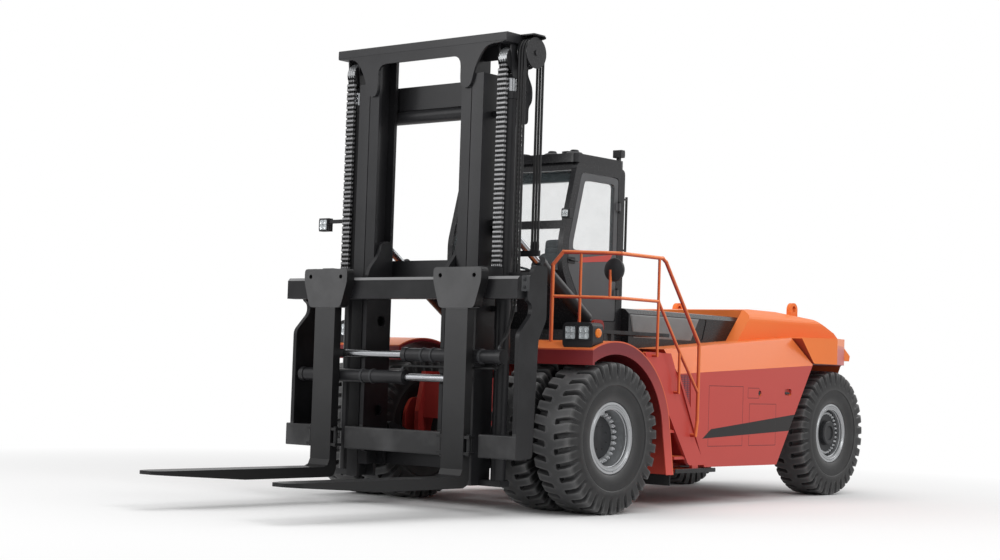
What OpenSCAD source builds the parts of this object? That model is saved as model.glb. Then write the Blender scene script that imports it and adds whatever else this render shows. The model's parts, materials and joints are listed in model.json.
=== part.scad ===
// Heavy electric counterbalance forklift, lithium battery, twin front tyres.
// Millimetres. Front (forks) is -Y, left is +X, up is +Z.
// The ground is Z = 0. Sizes along Y are measured from the front axle.

/* [Wheels] */
// tyre outside diameter over the lugs
tyre_od = 1615; // [1500:5:1700]
// tyre section width
tyre_w = 498; // [460:2:500]
// rim flange outside diameter
rim_od = 762; // [740:2:780]
// gap between the twin front tyres
twin_gap = 102; // [80:2:140]
// gap between the chassis and the inner front tyre
wheel_gap = 11; // [8:1:40]
// kingpin of a steered wheel from the truck centre
king_x = 780; // [760:5:900]
// front axle to rear axle
wheelbase = 5585; // [5300:5:6000]

/* [Mast] */
// half of the clear opening between the inner rails
rail_in = 600; // [595:1:605]
// width of one inner rail
inner_w = 135; // [130:1:136]
// depth of the rails, front to back
rail_d = 300; // [290:2:310]
// front face of the rails ahead of the axle
mast_front = 1170; // [1165:1:1200]
// top of the inner mast beam
mast_top = 5000; // [4400:10:5600]
// lift cylinder distance ahead of the axle
lift_y = 970; // [965:1:975]
// pitch radius of the chain sheaves
sheave_r = 130; // [126:1:132]

/* [Carriage and forks] */
// half width of the carriage bars
bar_half = 1660; // [1600:5:1700]
// front face of the carriage ahead of the axle
carriage_front = 1434; // [1430:1:1440]
// side shift of the carriage frame as posed
side_shift = 75; // [0:5:90]
// fork length from the shank front to the tip
fork_len = 2400; // [1800:10:2400]
// fork width
fork_w = 300; // [240:5:310]
// fork centre from the truck centre
fork_x = 950; // [940:2:970]
// fork thickness at the heel
fork_t = 110; // [80:2:115]
// underside of the forks above the ground as posed
fork_low = 275; // [270:1:300]

/* [Body] */
// half width of the side bodies
body_half = 1500; // [1450:5:1540]
// rear axle to the rear end of the counterweight
rear_over = 815; // [800:5:900]
// width of the landing beside the cab door
landing_w = 390; // [300:10:450]
// height of the hood above the chassis deck
hood_h = 590; // [560:5:620]
// half width of the hood
hood_half = 950; // [940:1:955]
// half width of the cab
cab_half = 850; // [845:1:855]
// height of the cab from its floor to the roof
cab_h = 1990; // [1950:5:2050]
// guard rail tube diameter
tube_d = 42; // [34:1:48]

/* [Fits] */
// gap between pieces that are fixed together
seat_gap = 0.3; // [0.2:0.05:0.5]
// radial clearance of pins and rods
run_gap = 0.05; // [0.02:0.01:0.1]

/* [Hidden] */
$fn = 64;
wheel_z = tyre_od / 2;
deck_z = tyre_od + 45;
rear = wheelbase + rear_over;
fork_face = carriage_front + 116;
fork_tip = fork_face + fork_len;
axle_y = (fork_tip - rear) / 2;
plate_in = rail_in - 70;
plate_out = rail_in - 8;
cheek_out = rail_in + 170;
lift_x = rail_in + 500;
beam_half = lift_x + 120;
dual_in = cheek_out + wheel_gap + tyre_w / 2;
front_half = dual_in + tyre_w + twin_gap;
rear_half = king_x + 61 + tyre_w / 2;
arch_r = wheel_z + 177;
arch_out = arch_r + 40;
fender_top = deck_z + 80;
fender_in = cab_half + 10;
fender_out = front_half + tyre_w / 2;
floor_z = deck_z + 300;
eave_z = floor_z + cab_h - 100;
roof_top = floor_z + cab_h;
cw_z = deck_z + 40;
hood_rear = wheelbase - 1685;
ladder_in = body_half - 310;
ladder_out = body_half + 160;
rail_x = body_half + 220;
rail_mid = rail_in + inner_w + 10;
rail_out = rail_in + 300;
mast_rear = mast_front - rail_d;
outer_top = mast_top - 400;
sheave_z = mast_top - 265;
hose_z = mast_top - 190;
lamp_x = 1830;
hose_x = [beam_half + 36, beam_half + 74, beam_half + 112];
chain_w = 120;
chain_d = 40;
arm_x = [side_shift - bar_half + 45, side_shift + bar_half - 85];
pivot_y = -300;
pivot_z = 600;
tilt_x = rail_in + 385;
tilt_mast = [-800, 3000];
tilt_body = [750, deck_z + 340];
tilt_len = norm(tilt_body - tilt_mast);
tilt_ang = atan2(tilt_mast[1] - tilt_body[1], tilt_body[0] - tilt_mast[0]);
hinge = [cab_half + 22, 1346];
cab_side = [[700, floor_z], [330, floor_z + 680], [330, floor_z + 1010], [560, eave_z], [1470, eave_z],
  [1470, floor_z]];
cab_window = [[790, floor_z + 120], [430, floor_z + 695], [430, floor_z + 1000], [640, eave_z - 110],
  [1350, eave_z - 110], [1350, floor_z + 120]];
door_side = [[797, floor_z + 128], [440, floor_z + 698], [440, floor_z + 998], [646, eave_z - 118],
  [1343, eave_z - 118], [1343, floor_z + 128]];
door_window = [[520, floor_z + 900], [520, floor_z + 980], [710, eave_z - 190], [1270, eave_z - 190],
  [1270, floor_z + 900]];

frame();
drive_axle();
steer_axle();
battery();
fenders();
mud_flaps();
side_bodies();
ladders();
railing();
deck();
hood();
grilles();
counterweight();
cab_frame();
cab_roof();
cab_glass();
seat();
console();
headlamps();
work_lamps();
mirror_disc();  // mirror
door();
door_glass();
mast_outer();
lift_barrels();
mast_lamp();
chains_rear();
hoses_rear();
mast_inner();
lift_rods();
chain_sheaves();
hose_sheave();
carriage();
positioner_barrels();
chains_front();
hoses_front();
fork(1);  // fork_left
fork(-1);  // fork_right
positioner_rod(1);  // rod_left
positioner_rod(-1);  // rod_right
tilt_barrel(1);  // tilt_barrel_left
tilt_barrel(-1);  // tilt_barrel_right
tilt_rod(1);  // tilt_rod_left
tilt_rod(-1);  // tilt_rod_right
tyres_front(1);  // tyres_front_left
tyres_front(-1);  // tyres_front_right
rims_front(1);  // rims_front_left
rims_front(-1);  // rims_front_right
knuckle(1);  // knuckle_left
knuckle(-1);  // knuckle_right
tyre_rear(1);  // tyre_rear_left
tyre_rear(-1);  // tyre_rear_right
rim_rear(1);  // rim_rear_left
rim_rear(-1);  // rim_rear_right

// moves the axle-based layout so the whole box is centred on the origin
module at_axle() translate([0, axle_y, 0]) children();

// the same shape on one side: 1 is left, -1 is right
module on_side(side) mirror([side < 0 ? 1 : 0, 0, 0]) children();

module both() { children(); mirror([1, 0, 0]) children(); }

// block from its two corners
module block(x0, x1, y0, y1, z0, z1)
  translate([x0, y0, z0]) cube([x1 - x0, y1 - y0, z1 - z0]);

// outline with each corner bent over the length t
function soft(pts, t) = [for (i = [0 : len(pts) - 1]) let (n = len(pts), p = pts[i],
  a = pts[(i + n - 1) % n] - p, b = pts[(i + 1) % n] - p,
  u = a / norm(a) * min(t, 0.45 * norm(a)), v = b / norm(b) * min(t, 0.45 * norm(b)))
  for (s = [0 : 0.25 : 1]) p + u * (1 - s) * (1 - s) + v * s * s];

// outline drawn in a little towards its middle, for panes in a frame
function inset(pts, k) = let (c = [for (j = [0, 1]) [for (p = pts) p[j]] * [for (p = pts) 1] / len(pts)])
  [for (p = pts) c + (p - c) * k];

// side profile in Y and Z, drawn out along X
module slab(x0, x1, pts)
  translate([x0, 0, 0]) rotate([90, 0, 90]) linear_extrude(height = x1 - x0) polygon(pts);

// front profile in X and Z, drawn out along Y
module cross(y0, y1, pts)
  translate([0, y1, 0]) rotate([90, 0, 0]) linear_extrude(height = y1 - y0) polygon(pts);

// plan in X and Y, drawn up along Z
module plan(z0, z1, pts)
  translate([0, 0, z0]) linear_extrude(height = z1 - z0) polygon(pts);

module xrod(x0, x1, y, z, r)
  translate([x0, y, z]) rotate([0, 90, 0]) cylinder(h = x1 - x0, r = r);

module yrod(y0, y1, x, z, r)
  translate([x, y0, z]) rotate([-90, 0, 0]) cylinder(h = y1 - y0, r = r);

// round bar between two points, run on past each end by a and b
module bar(p, q, r, a, b) {
  d = q - p;
  translate(p) rotate([0, acos(d[2] / norm(d)), atan2(d[1], d[0])])
    translate([0, 0, -a]) cylinder(h = norm(d) + a + b, r = r, $fn = 32);
}

// bent tube along a path; every second length is a little thinner, so the corners meet cleanly
module tube(pts, r) {
  n = len(pts) - 2;
  for (i = [0 : n])
    bar(pts[i], pts[i + 1], r * (1 - 0.03 * (i % 2)), i > 0 ? r * 0.6 : 0, i < n ? r * 0.6 : 0);
}

// front edge and top edge of the side bodies, and the top of the fender arch
function side_y(z) = 1560 + (deck_z + 125 - z) * 740 / (deck_z - 315);
function arch_z(y) = wheel_z + sqrt(arch_out * arch_out - y * y) + seat_gap;
function side_top(y) = deck_z + 125 + (y - 1560) * 225 / (wheelbase - 2735);

// chassis side plates, front pivot ears, tilt cylinder ears, rear deck and axle hanger
module frame() color("firebrick") at_axle() difference() {
  union() {
    both() {
      slab(plate_in, plate_out, [[-430, 480], [1500, 480], [wheelbase - 1485, 560], [wheelbase - 1025, 1100],
        [wheelbase - 1025, deck_z], [1480, deck_z], [1480, deck_z - 210], [-330, deck_z - 210],
        [-430, 1000]]);
      slab(cheek_out - 42, cheek_out,
        soft([[-430, 480], [230, 480], [230, 1150], [-330, 1150], [-430, 1000]], 60));
      block(plate_out, cheek_out - 42, 60, 230, 1030, 1150);
      for (x = [tilt_x - 80, tilt_x + 45]) slab(x, x + 35, soft([[640, deck_z - 210], [860, deck_z - 210],
        [850, deck_z + 425], [650, deck_z + 425]], 70));
      block(tilt_x - 80, tilt_x + 100 - seat_gap, 700, 860, deck_z - 310, deck_z - 100);
    }
    block(-tilt_x - 80, tilt_x + 80, 640, 860, deck_z - 210, deck_z - 100);
    block(-plate_in, plate_in, -350, -260, 930, 1400);
    block(-plate_in, plate_in, 900, 1300, 520, deck_z - 220);
    block(-plate_in, plate_in, wheelbase - 1485, wheelbase - 1105, 700, deck_z);
    block(-plate_out, plate_out, hood_rear, wheelbase + 640, deck_z - 50, deck_z);
    for (s = [-1, 1]) block(-130, 130, wheelbase + s * 262 - 45, wheelbase + s * 262 + 45,
      wheel_z - 118, deck_z - 50);
    block(-130, 130, wheelbase + 515, wheelbase + 640, 900, deck_z);
    block(-130, 130, wheelbase + 515, wheelbase + 700, 900, cw_z - 145);
    block(-250, 250, wheelbase + 695, rear - 20, 900, cw_z - 145);
  }
  xrod(-800, 800, 0, wheel_z, 210 + seat_gap);
  xrod(-361, 361, 0, wheel_z, 330 + seat_gap);
  xrod(-900, 900, pivot_y, pivot_z, 60 + run_gap);
  yrod(wheelbase - 400, wheelbase + 400, 0, wheel_z, 90 + seat_gap);
  xrod(-tilt_x - 120, tilt_x + 120, tilt_body[0], tilt_body[1], 45 + run_gap);
  translate([0, rear - 150, 0]) cylinder(h = 3000, r = 45);
}

// drive axle beam with the gear housing and the hub spindles
module drive_axle() color("dimgray") at_axle() {
  xrod(-dual_in - 185, dual_in + 185, 0, wheel_z, 210);
  xrod(-360, 360, 0, wheel_z, 330);
  xrod(-front_half + 130, front_half - 130, 0, wheel_z, 120);
}

// steered rear axle beam, yokes and trunnion
module steer_axle() color("dimgray") at_axle() translate([0, wheelbase, wheel_z]) difference() {
  union() {
    block(280 - king_x, king_x - 280, -200, 200, -150, 150);
    yrod(-310, 310, 0, 0, 90);
    both() {
      plan(-150, 150, [[king_x - 280, -200], [king_x - 110, -120], [king_x - 110, 120],
        [king_x - 280, 200]]);
      for (s = [-1, 1]) translate([0, 0, s * 188]) {
        block(king_x - 140, king_x, -85, 85, -38, 38);
        translate([king_x, 0, -38]) cylinder(h = 76, r = 85);
      }
    }
  }
  both() translate([king_x, 0, -300]) cylinder(h = 600, r = 55 + run_gap);
}

// battery pack as one plain block
module battery() color("gray") at_axle()
  block(-plate_in + seat_gap, plate_in - seat_gap, 1490, wheelbase - 1485 - seat_gap, 700, deck_z - 55);

// front apron, round arch, outer skirt and straight rear end of each front fender
module fenders() color("orangered") at_axle() both() {
  tail = [arch_out * cos(5), wheel_z + arch_out * sin(5)];
  difference() {
    union() {
      xrod(fender_in, fender_out, 0, wheel_z, arch_out, $fn = 128);
      slab(fender_in, fender_out, [[500, tail[1]], tail, [arch_out + 86, 400], [500, 400]]);
    }
    xrod(0, fender_out - 14, 0, wheel_z, arch_r, $fn = 128);
    xrod(0, 2500, 0, wheel_z, arch_r - 100, $fn = 128);
    slab(0, fender_out - 14, [[300, tail[1] + 2], [tail[0] - 40, tail[1] + 2], [arch_out + 46, 399],
      [300, 399]]);
    slab(0, 2500, [[300, tail[1]], [tail[0] - 140, tail[1]], [arch_out - 54, 399], [300, 399]]);
    block(0, 2500, -3000, -430, -2000, 4000);
    block(0, 2500, -3000, 3000, -2000, 400);
    block(0, tilt_x + 100, 480, 960, 1000, 3000);
  }
  block(fender_in, fender_out, -430, -395, fender_top - 170, fender_top - 30);
}

// rubber flaps below the rear end of the arches
module mud_flaps() color("black") at_axle() both()
  block(fender_in + 140, fender_out - 30, arch_out + 56, arch_out + 68, 280, 400 - seat_gap);

// closed side bodies with the sloped upper band
module side_bodies() color("orangered") at_axle() both() difference() {
  slab(plate_out + seat_gap, body_half, [[side_y(440), 440], [wheelbase - wheel_z - 877, 440],
    [wheelbase - wheel_z - 42, deck_z + 30], [wheelbase - 1175, side_top(wheelbase - 1175)],
    [1560, side_top(1560)]]);
  translate([0, 1560, deck_z - 160]) rotate([3.1, 0, 0])
    cross(-600, wheelbase, [[body_half + 1, 0], [body_half + 1, 600], [body_half - 220, 600]]);
  slab(590, hood_half + 2, [[1000, deck_z + seat_gap], [wheelbase, deck_z + seat_gap],
    [wheelbase, deck_z + 900], [1000, deck_z + 900]]);
  slab(body_half - 12, body_half + 5, soft([[1745, 1505], [1965, 1505], [1985, 1120]], 15));
  translate([body_half, 3480, 1310]) rotate([0, 90, 0]) cylinder(h = 40, r = 34, center = true);
  slab(body_half - 30, body_half + 5, soft([[4060, 1290], [4220, 1290], [4220, 1370], [4060, 1370]], 25));
}

// slanted stringers, steps and the closed back of each ladder
module ladders() color("orangered") at_axle() both() {
  run = (side_y(480) - side_y(fender_top)) / (fender_top - 480);
  y0 = side_y(fender_top) - 445;
  for (x = [ladder_in, ladder_out - 40])
    slab(x, x + 40, soft([[y0 - 330, fender_top], [y0, fender_top], [side_y(480) - 218, 480],
      [side_y(480) - 548, 480]], 40));
  slab(ladder_in, body_half - 20, [[y0 - 20, fender_top], [side_y(fender_top) - 2 * seat_gap, fender_top],
    [side_y(480) - 2 * seat_gap, 480], [side_y(480) - 240, 480]]);
  for (i = [0 : 3]) {
    z = fender_top - 260 - 300 * i;
    block(ladder_in + 20, ladder_out - 20, y0 - 310 + run * (fender_top - z), y0 + run * (fender_top - z),
      z - 32, z);
  }
  for (x = [ladder_in + 2, body_half - 62]) block(x, x + 40, side_y(480) - 200, side_y(480) - 80, 390, 500);
  block(ladder_in, body_half - 20, side_y(480) - 560, side_y(480) + 270, 385, 425);
}

// guard rails beside the cab and the ladder handrail
module railing() color("orangered") at_axle() {
  r = tube_d / 2;
  top = fender_top + 1040;
  mid = fender_top + 560;
  tube([[1130, -190, arch_z(-190 + r)], [1130, -190, top - 140], [1220, -130, top], [1600, 120, top],
    [rail_x, 240, top], [rail_x, 1020, top], [rail_x, 1090, top - 40], [rail_x, 1790, top - 930],
    [rail_x, 1790, 980], [rail_x, 1760, 820], [ladder_out + seat_gap, 1760, 820]], r);
  tube([[1130, -190, mid], [1600, 120, mid], [rail_x, 240, mid], [rail_x, 960, mid],
    [rail_x, 1400, mid - 550], [rail_x, 1790, mid - 1000]], 0.85 * r);
  tube([[1380, -25, arch_z(0)], [1380, -25, top]], 0.75 * r);
  tube([[1640, 160, mid], [1640, 160, mid + 300]], 0.75 * r);
  tube([[rail_x, 960, top], [rail_x, 960, 1700], [ladder_out + seat_gap, 960, 1700]], 0.75 * r);
  tube([[rail_x, 1400, mid - 550], [rail_x, 1400, 1300], [ladder_out + seat_gap, 1400, 1300]], 0.75 * r);
}

// landing plate beside the cab door, on posts that stand on the fender
module deck() color("dimgray") at_axle() difference() {
  x0 = cab_half + 240;
  union() {
    block(x0, x0 + landing_w, 260, 1540, floor_z - 40, floor_z);
    for (x = [x0 + 10, x0 + landing_w - 60], y = [300, 440])
      block(x, x + 50, y, y + 50, fender_top - 100, floor_z - 20);
  }
  xrod(0, 2500, 0, wheel_z, arch_out + seat_gap, $fn = 128);
}

// battery hood behind the cab
module hood() color("black") at_axle() difference() {
  cross(1480, hood_rear, [[-hood_half, deck_z + seat_gap], [hood_half, deck_z + seat_gap],
    [hood_half, deck_z + hood_h - 60], [hood_half - 60, deck_z + hood_h - 8], [hood_half - 120,
    deck_z + hood_h], [120 - hood_half, deck_z + hood_h], [60 - hood_half, deck_z + hood_h - 8],
    [-hood_half, deck_z + hood_h - 60]]);
  both() slab(hood_half - 8, hood_half + 5, soft([[1600, deck_z + 260], [hood_rear - 880, deck_z + 260],
    [hood_rear - 790, deck_z + 520], [1540, deck_z + 520]], 30));
}

// louvred panels on the hood sides
module grilles() color("dimgray") at_axle() both() for (i = [0 : 4])
  slab(hood_half - 8 + seat_gap, hood_half + 2, [for (p = [[0, 0], [1, 0], [1, 26], [0, 26]])
    [p[0] > 0 ? hood_rear - 902 + 16 * i : 1612 - 11 * i, deck_z + 284 + 46 * i + p[1]]]);

// cast counterweight with the raised hump and lifting eyes
module counterweight() color("orangered") at_axle() {
  front = wheelbase - 2045;
  intersection() {
    slab(-2000, 2000, soft([[wheelbase - 825, cw_z], [wheelbase + 645, cw_z], [wheelbase + 715, cw_z - 140],
      [rear, cw_z - 140], [rear, cw_z + 180], [rear - 160, cw_z + 350], [wheelbase - 1145, cw_z + 320]], 30));
    plan(cw_z - 200, cw_z + 800, [[-body_half, wheelbase - 1600], [body_half, wheelbase - 1600],
      [body_half, wheelbase - 235], [1150, rear - 240], [850, rear], [-850, rear], [-1150, rear - 240],
      [-body_half, wheelbase - 235]]);
  }
  difference() {
    intersection() {
      slab(-1125, 1125, [[front, side_top(front) + 2 * seat_gap], [front + 360, cw_z + 640],
        [front + 500, cw_z + 655], [wheelbase - 895, cw_z + 650], [wheelbase - 135, cw_z + 580],
        [wheelbase + 325, cw_z + 420], [rear - 40, cw_z + 130], [rear - 60, cw_z + 60],
        [wheelbase - 800, cw_z + 100], [wheelbase - 1130, side_top(wheelbase - 1130) + 2 * seat_gap]]);
      cross(0, 2 * wheelbase, soft([[-1125, cw_z], [1125, cw_z], [1125, cw_z + 560], [900, cw_z + 680],
        [-900, cw_z + 680], [-1125, cw_z + 560]], 60));
    }
    block(-hood_half - 2, hood_half + 2, 0, hood_rear + 2, 0, 4000);
  }
  block(-hood_half + 10, hood_half - 10, hood_rear + 2, wheelbase - 700, deck_z + seat_gap, cw_z + 400);
  both() difference() {
    union() {
      xrod(870, 930, wheelbase - 385, cw_z + 700, 90);
      block(870, 930, wheelbase - 475, wheelbase - 295, cw_z + 500, cw_z + 700);
    }
    xrod(800, 1000, wheelbase - 385, cw_z + 710, 40);
  }
}

// cab floor box, lower panels, pillars, rails, hinge brackets and grab rail
module cab_frame() color("black") at_axle() {
  block(-cab_half, cab_half, 400, 1470, deck_z - 100 + seat_gap, floor_z);
  both() difference() {
    slab(cab_half - 70, cab_half, soft(cab_side, 70));
    slab(cab_half - 150, cab_half + 50, soft(cab_window, 50));
  }
  block(-cab_half + 70, cab_half - 70, 1380, 1470, floor_z, floor_z + 540);
  block(-cab_half + 70, cab_half - 70, 1380, 1470, eave_z - 110, eave_z);
  slab(-cab_half + 70, cab_half - 70, [[640, eave_z], [575, eave_z], [545, eave_z - 90], [625, eave_z - 90]]);
  slab(-cab_half + 60, cab_half - 60, [[375, floor_z + 1130], [445, floor_z + 1130], [465, floor_z + 1220],
    [395, floor_z + 1220]]);
  slab(-cab_half + 70, cab_half - 70, [[700, floor_z], [340, floor_z + 662], [390, floor_z + 662],
    [750, floor_z]]);
  for (z = [floor_z + 400, floor_z + 1400]) translate([0, 0, z]) {
    translate([hinge[0], hinge[1], -20]) cylinder(h = 130, r = 7);
    for (k = [-20, 96]) {
      translate([hinge[0], hinge[1], k]) cylinder(h = 14, r = 12);
      block(hinge[0] - 9, hinge[0] + 9, hinge[1] + 1, 1400, k + 1, k + 13);
      block(cab_half - 3, hinge[0] + 9, 1372, 1400, k + 1, k + 13);
    }
  }
  translate([cab_half - 20, 1535, floor_z + 930]) cylinder(h = 650, r = 15);
  for (z = [floor_z + 960, floor_z + 1550]) yrod(1460, 1535, cab_half - 20, z, 12);
}

// roof slab with two vent domes
module cab_roof() color("black") at_axle() {
  plan(eave_z + seat_gap, roof_top, soft([[-830, 540], [830, 540], [830, 1480], [-830, 1480]], 60));
  for (x = [-350, 350]) translate([x, 1050, roof_top - 1]) {
    cylinder(h = 50, r = 160);
    cylinder(h = 90, r = 90);
  }
}

// fixed windows: windscreen, lower front pane, rear and right panes
module cab_glass() color("lightblue") at_axle() {
  w = cab_half - 70 - seat_gap;
  slab(-w, w, [[362, floor_z + 663], [368, floor_z + 663], [368, floor_z + 1004], [396, floor_z + 1129],
    [390, floor_z + 1129], [362, floor_z + 1005]]);
  slab(-w, w, [[430, floor_z + 1221], [436, floor_z + 1221], [580, eave_z - 91], [574, eave_z - 91]]);
  block(-w, w, 1420, 1426, floor_z + 540 + seat_gap, eave_z - 110 - seat_gap);
  slab(-cab_half + 30, -cab_half + 36, inset(soft(cab_window, 50), 0.9994));
}

// seat base and cushions
module seat() color("dimgray") at_axle() {
  slab(-260, 260, soft([[880, floor_z + 180], [1300, floor_z + 160], [1300, floor_z + 290],
    [880, floor_z + 320]], 40));
  slab(-250, 250, soft([[1200, floor_z + 220], [1290, floor_z + 220], [1370, floor_z + 1090],
    [1280, floor_z + 1090]], 40));
  block(-200, 200, 950, 1230, floor_z + seat_gap, floor_z + 230);
}

// slanted front console, steering column and wheel
module console() color("black") at_axle() {
  slab(-300, 300, soft([[800, floor_z + seat_gap], [890, floor_z + seat_gap], [640, floor_z + 560],
    [540, floor_z + 560]], 20));
  translate([0, 650, floor_z + 500]) rotate([-25, 0, 0]) {
    cylinder(h = 170, r = 28);
    translate([0, 0, 150]) rotate_extrude() translate([185, 0]) circle(r = 14);
    translate([0, 0, 150]) for (a = [0, 90]) rotate([0, 90, a]) cylinder(h = 370, r = 10, center = true);
  }
}

// headlamp boxes on the fender arches, each with two round wells
module headlamps() color("black") at_axle() both() difference() {
  x0 = fender_out - 430;
  cross(-400, -220, soft([[x0, fender_top], [x0 + 400, fender_top], [x0 + 400, fender_top + 275],
    [x0, fender_top + 275]], 70));
  for (x = [x0 + 110, x0 + 290]) yrod(-410, -372, x, fender_top + 165, 74);
  xrod(0, 2500, 0, wheel_z, arch_out + seat_gap, $fn = 128);
}

// work lamps on the roof corner and the front pillar
module work_lamps() color("black") at_axle() {
  for (x = [-810, 770]) block(x, x + 40, 1395, 1435, roof_top + seat_gap, roof_top + 40);
  for (x = [-850, 730]) block(x, x + 120, 1380, 1450, roof_top + 38, roof_top + 125);
  block(cab_half + seat_gap, cab_half + 30, 330, 430, floor_z + 1262, floor_z + 1290);
  block(cab_half + 10, cab_half + 120, 280, 350, floor_z + 1230, floor_z + 1340);
}

// round mirror on the guard rail post
module mirror_disc() color("black") at_axle()
  yrod(160 + 0.375 * tube_d + seat_gap, 190 + 0.375 * tube_d, 1670, fender_top + 860, 125);

// side door with hinge knuckles at its rear edge
module door() color("black") at_axle() difference() {
  union() {
    difference() {
      slab(cab_half - 55, cab_half - 2, soft(door_side, 50));
      slab(cab_half - 150, cab_half + 50, soft(door_window, 50));
    }
    for (z = [floor_z + 400, floor_z + 1400]) {
      translate([hinge[0], hinge[1], z]) cylinder(h = 90, r = 14);
      block(cab_half - 10, cab_half + 13, hinge[1] - 56, hinge[1] - 1, z + 2, z + 88);
    }
  }
  translate([hinge[0], hinge[1], floor_z]) cylinder(h = cab_h, r = 7 + run_gap);
}

module door_glass() color("lightblue") at_axle()
  slab(cab_half - 32, cab_half - 24, inset(soft(door_window, 50), 0.9994));

// outer rails, rear ties, pivot feet, cylinder brackets and the hose bracket
module mast_outer() color("dimgray") at_axle() difference() {
  ties = [420, 2400, outer_top - 270];
  union() {
    both() {
      block(rail_out - 40, rail_out, -mast_front, -mast_rear, 280, outer_top);
      for (y = [-mast_front, -mast_rear - 40]) block(rail_mid, rail_out, y, y + 40, 280, outer_top);
      for (z = ties) {
        block(rail_mid, rail_mid + 30, -mast_rear, -740, z, z + 260);
        block(rail_mid, rail_out - 40, -mast_rear, -835, z, z + 260);
      }
      slab(rail_in, rail_in + 120, soft([[-825, 420], [-825, 900], [-300, 720], [-185, 660], [-185, 540],
        [-300, 480]], 60));
      xrod(plate_in, cheek_out, pivot_y, pivot_z, 60);
      for (z = [1500, 3000, outer_top - 450])
        block(rail_out - 5, lift_x, -lift_y - 30, -lift_y + 30, z, z + 60);
      block(rail_out - 5, lift_x + 90, -lift_y - 75, -lift_y + 75, 280, 340 - seat_gap);
      block(rail_out - 5, lift_x + 60, -862, -818, 2100, 2160);
      block(rail_out - 5, lift_x - 75, -mast_rear - 60, -860, 2100, 2160);
      slab(rail_out - 10, tilt_x - 45, soft([[-mast_rear - 60, 2910], [-720, 2910], [-720, 3090],
        [-mast_rear - 60, 3090]], 50));
      xrod(tilt_x - 50, tilt_x + 41, tilt_mast[0], tilt_mast[1], 42);
    }
    for (z = ties) block(-rail_mid - 15, rail_mid + 15, -825, -720, z, z + 260);
    xrod(-rail_mid - 15, rail_mid + 15, -772, outer_top - 338, 80);
    block(rail_out - 10, 930, -mast_rear - 30, -705, 2692, 2748);
    block(rail_out - 10, beam_half + 140, -735, -705, 2690, 2750 - seat_gap);
  }
  both() translate([lift_x, -lift_y, 1000]) cylinder(h = outer_top, r = 80 + seat_gap);
}

// lift cylinder tubes with a gland at the top
module lift_barrels() color("dimgray") at_axle() both() translate([lift_x, -lift_y, 0]) difference() {
  union() {
    translate([0, 0, 340]) cylinder(h = outer_top - 535, r = 80);
    translate([0, 0, outer_top - 275]) cylinder(h = 75, r = 92);
  }
  translate([0, 0, 360]) cylinder(h = outer_top, r = 62 + run_gap);
}

// lamp on an arm from the right tilt bracket
module mast_lamp() color("black") at_axle() {
  block(-940, -895, -860, -740, 3090 + seat_gap, 3112);
  block(-lamp_x + 120, -895, -800, -752, 3110, 3150);
  block(-lamp_x, -lamp_x + 150, -812, -740, 3020, 3170);
}

// one run of leaf chain between two heights
module chain_run(y, z0, z1) {
  block(lift_x - 45, lift_x + 45, y - chain_d / 2 + 6, y + chain_d / 2 - 6, z0, z1);
  for (z = [z0 : 150 : z1 - 100])
    block(lift_x - chain_w / 2, lift_x + chain_w / 2, y - chain_d / 2, y + chain_d / 2, z, z + 90);
}

module chains_rear() color("gray") at_axle() both()
  chain_run(-lift_y + sheave_r, 2160 + seat_gap, sheave_z);

module chains_front() color("gray") at_axle() both()
  chain_run(-lift_y - sheave_r, 2550 + seat_gap, sheave_z);

// inner rails, top beam with its curved front plate, sheave brackets and hose arm
module mast_inner() color("dimgray") at_axle() {
  rail_top = mast_top - 100;
  both() {
    block(rail_in + 100, rail_in + inner_w, -mast_front, -mast_rear, 420, rail_top + 10);
    for (y = [-mast_front, -mast_rear - 40])
      block(rail_in, rail_in + inner_w, y, y + 40, 420, rail_top + 10);
    for (x = [lift_x - 85, lift_x + 65])
      slab(x, x + 20, soft([[-lift_y - 70, mast_top - 455], [-lift_y + 70, mast_top - 455],
        [-lift_y + 110, rail_top + 5], [-lift_y - 110, rail_top + 5]], 30));
    block(lift_x - 80, lift_x + 80, -lift_y - 65, -lift_y + 65, mast_top - 455, mast_top - 415);
    xrod(lift_x - 80, lift_x + 80, -lift_y, sheave_z, 40);
  }
  slab(-beam_half, beam_half, soft([[-mast_front - 35, rail_top], [-mast_rear + 40, rail_top],
    [-mast_rear + 40, mast_top], [-mast_front - 35, mast_top]], 16));
  cross(-mast_front - 34, -mast_front - 6, concat(
    soft([[rail_in, mast_top - 550], [rail_mid, mast_top - 550], [rail_mid + 55, mast_top - 330],
      [rail_mid + 195, mast_top - 110],
      [beam_half - 10, mast_top - 108], [beam_half - 10, mast_top - 20], [10 - beam_half, mast_top - 20],
      [10 - beam_half, mast_top - 108], [-rail_mid - 195, mast_top - 110], [-rail_mid - 55, mast_top - 330],
      [-rail_mid, mast_top - 550], [-rail_in, mast_top - 550], [-rail_in, mast_top - 200],
      [rail_in, mast_top - 200]], 120)));
  block(-rail_in - 90, rail_in + 90, -mast_rear, -845, 560, 760);
  slab(beam_half - 34, beam_half + 4, soft([[-930, hose_z - 60], [-810, hose_z - 60], [-800, mast_top - 10],
    [-940, mast_top - 10]], 40));
}

module lift_rods() color("silver") at_axle() both()
  translate([lift_x, -lift_y, 700]) cylinder(h = mast_top - 1155 - seat_gap, r = 62);

module chain_sheaves() color("gray") at_axle() both() difference() {
  union() {
    xrod(lift_x - 62, lift_x + 62, -lift_y, sheave_z, sheave_r - 20);
    for (x = [lift_x - 64, lift_x + 60.5]) xrod(x, x + 3.5, -lift_y, sheave_z, sheave_r + 10);
  }
  xrod(lift_x - 100, lift_x + 100, -lift_y, sheave_z, 40 + run_gap);
}

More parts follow.
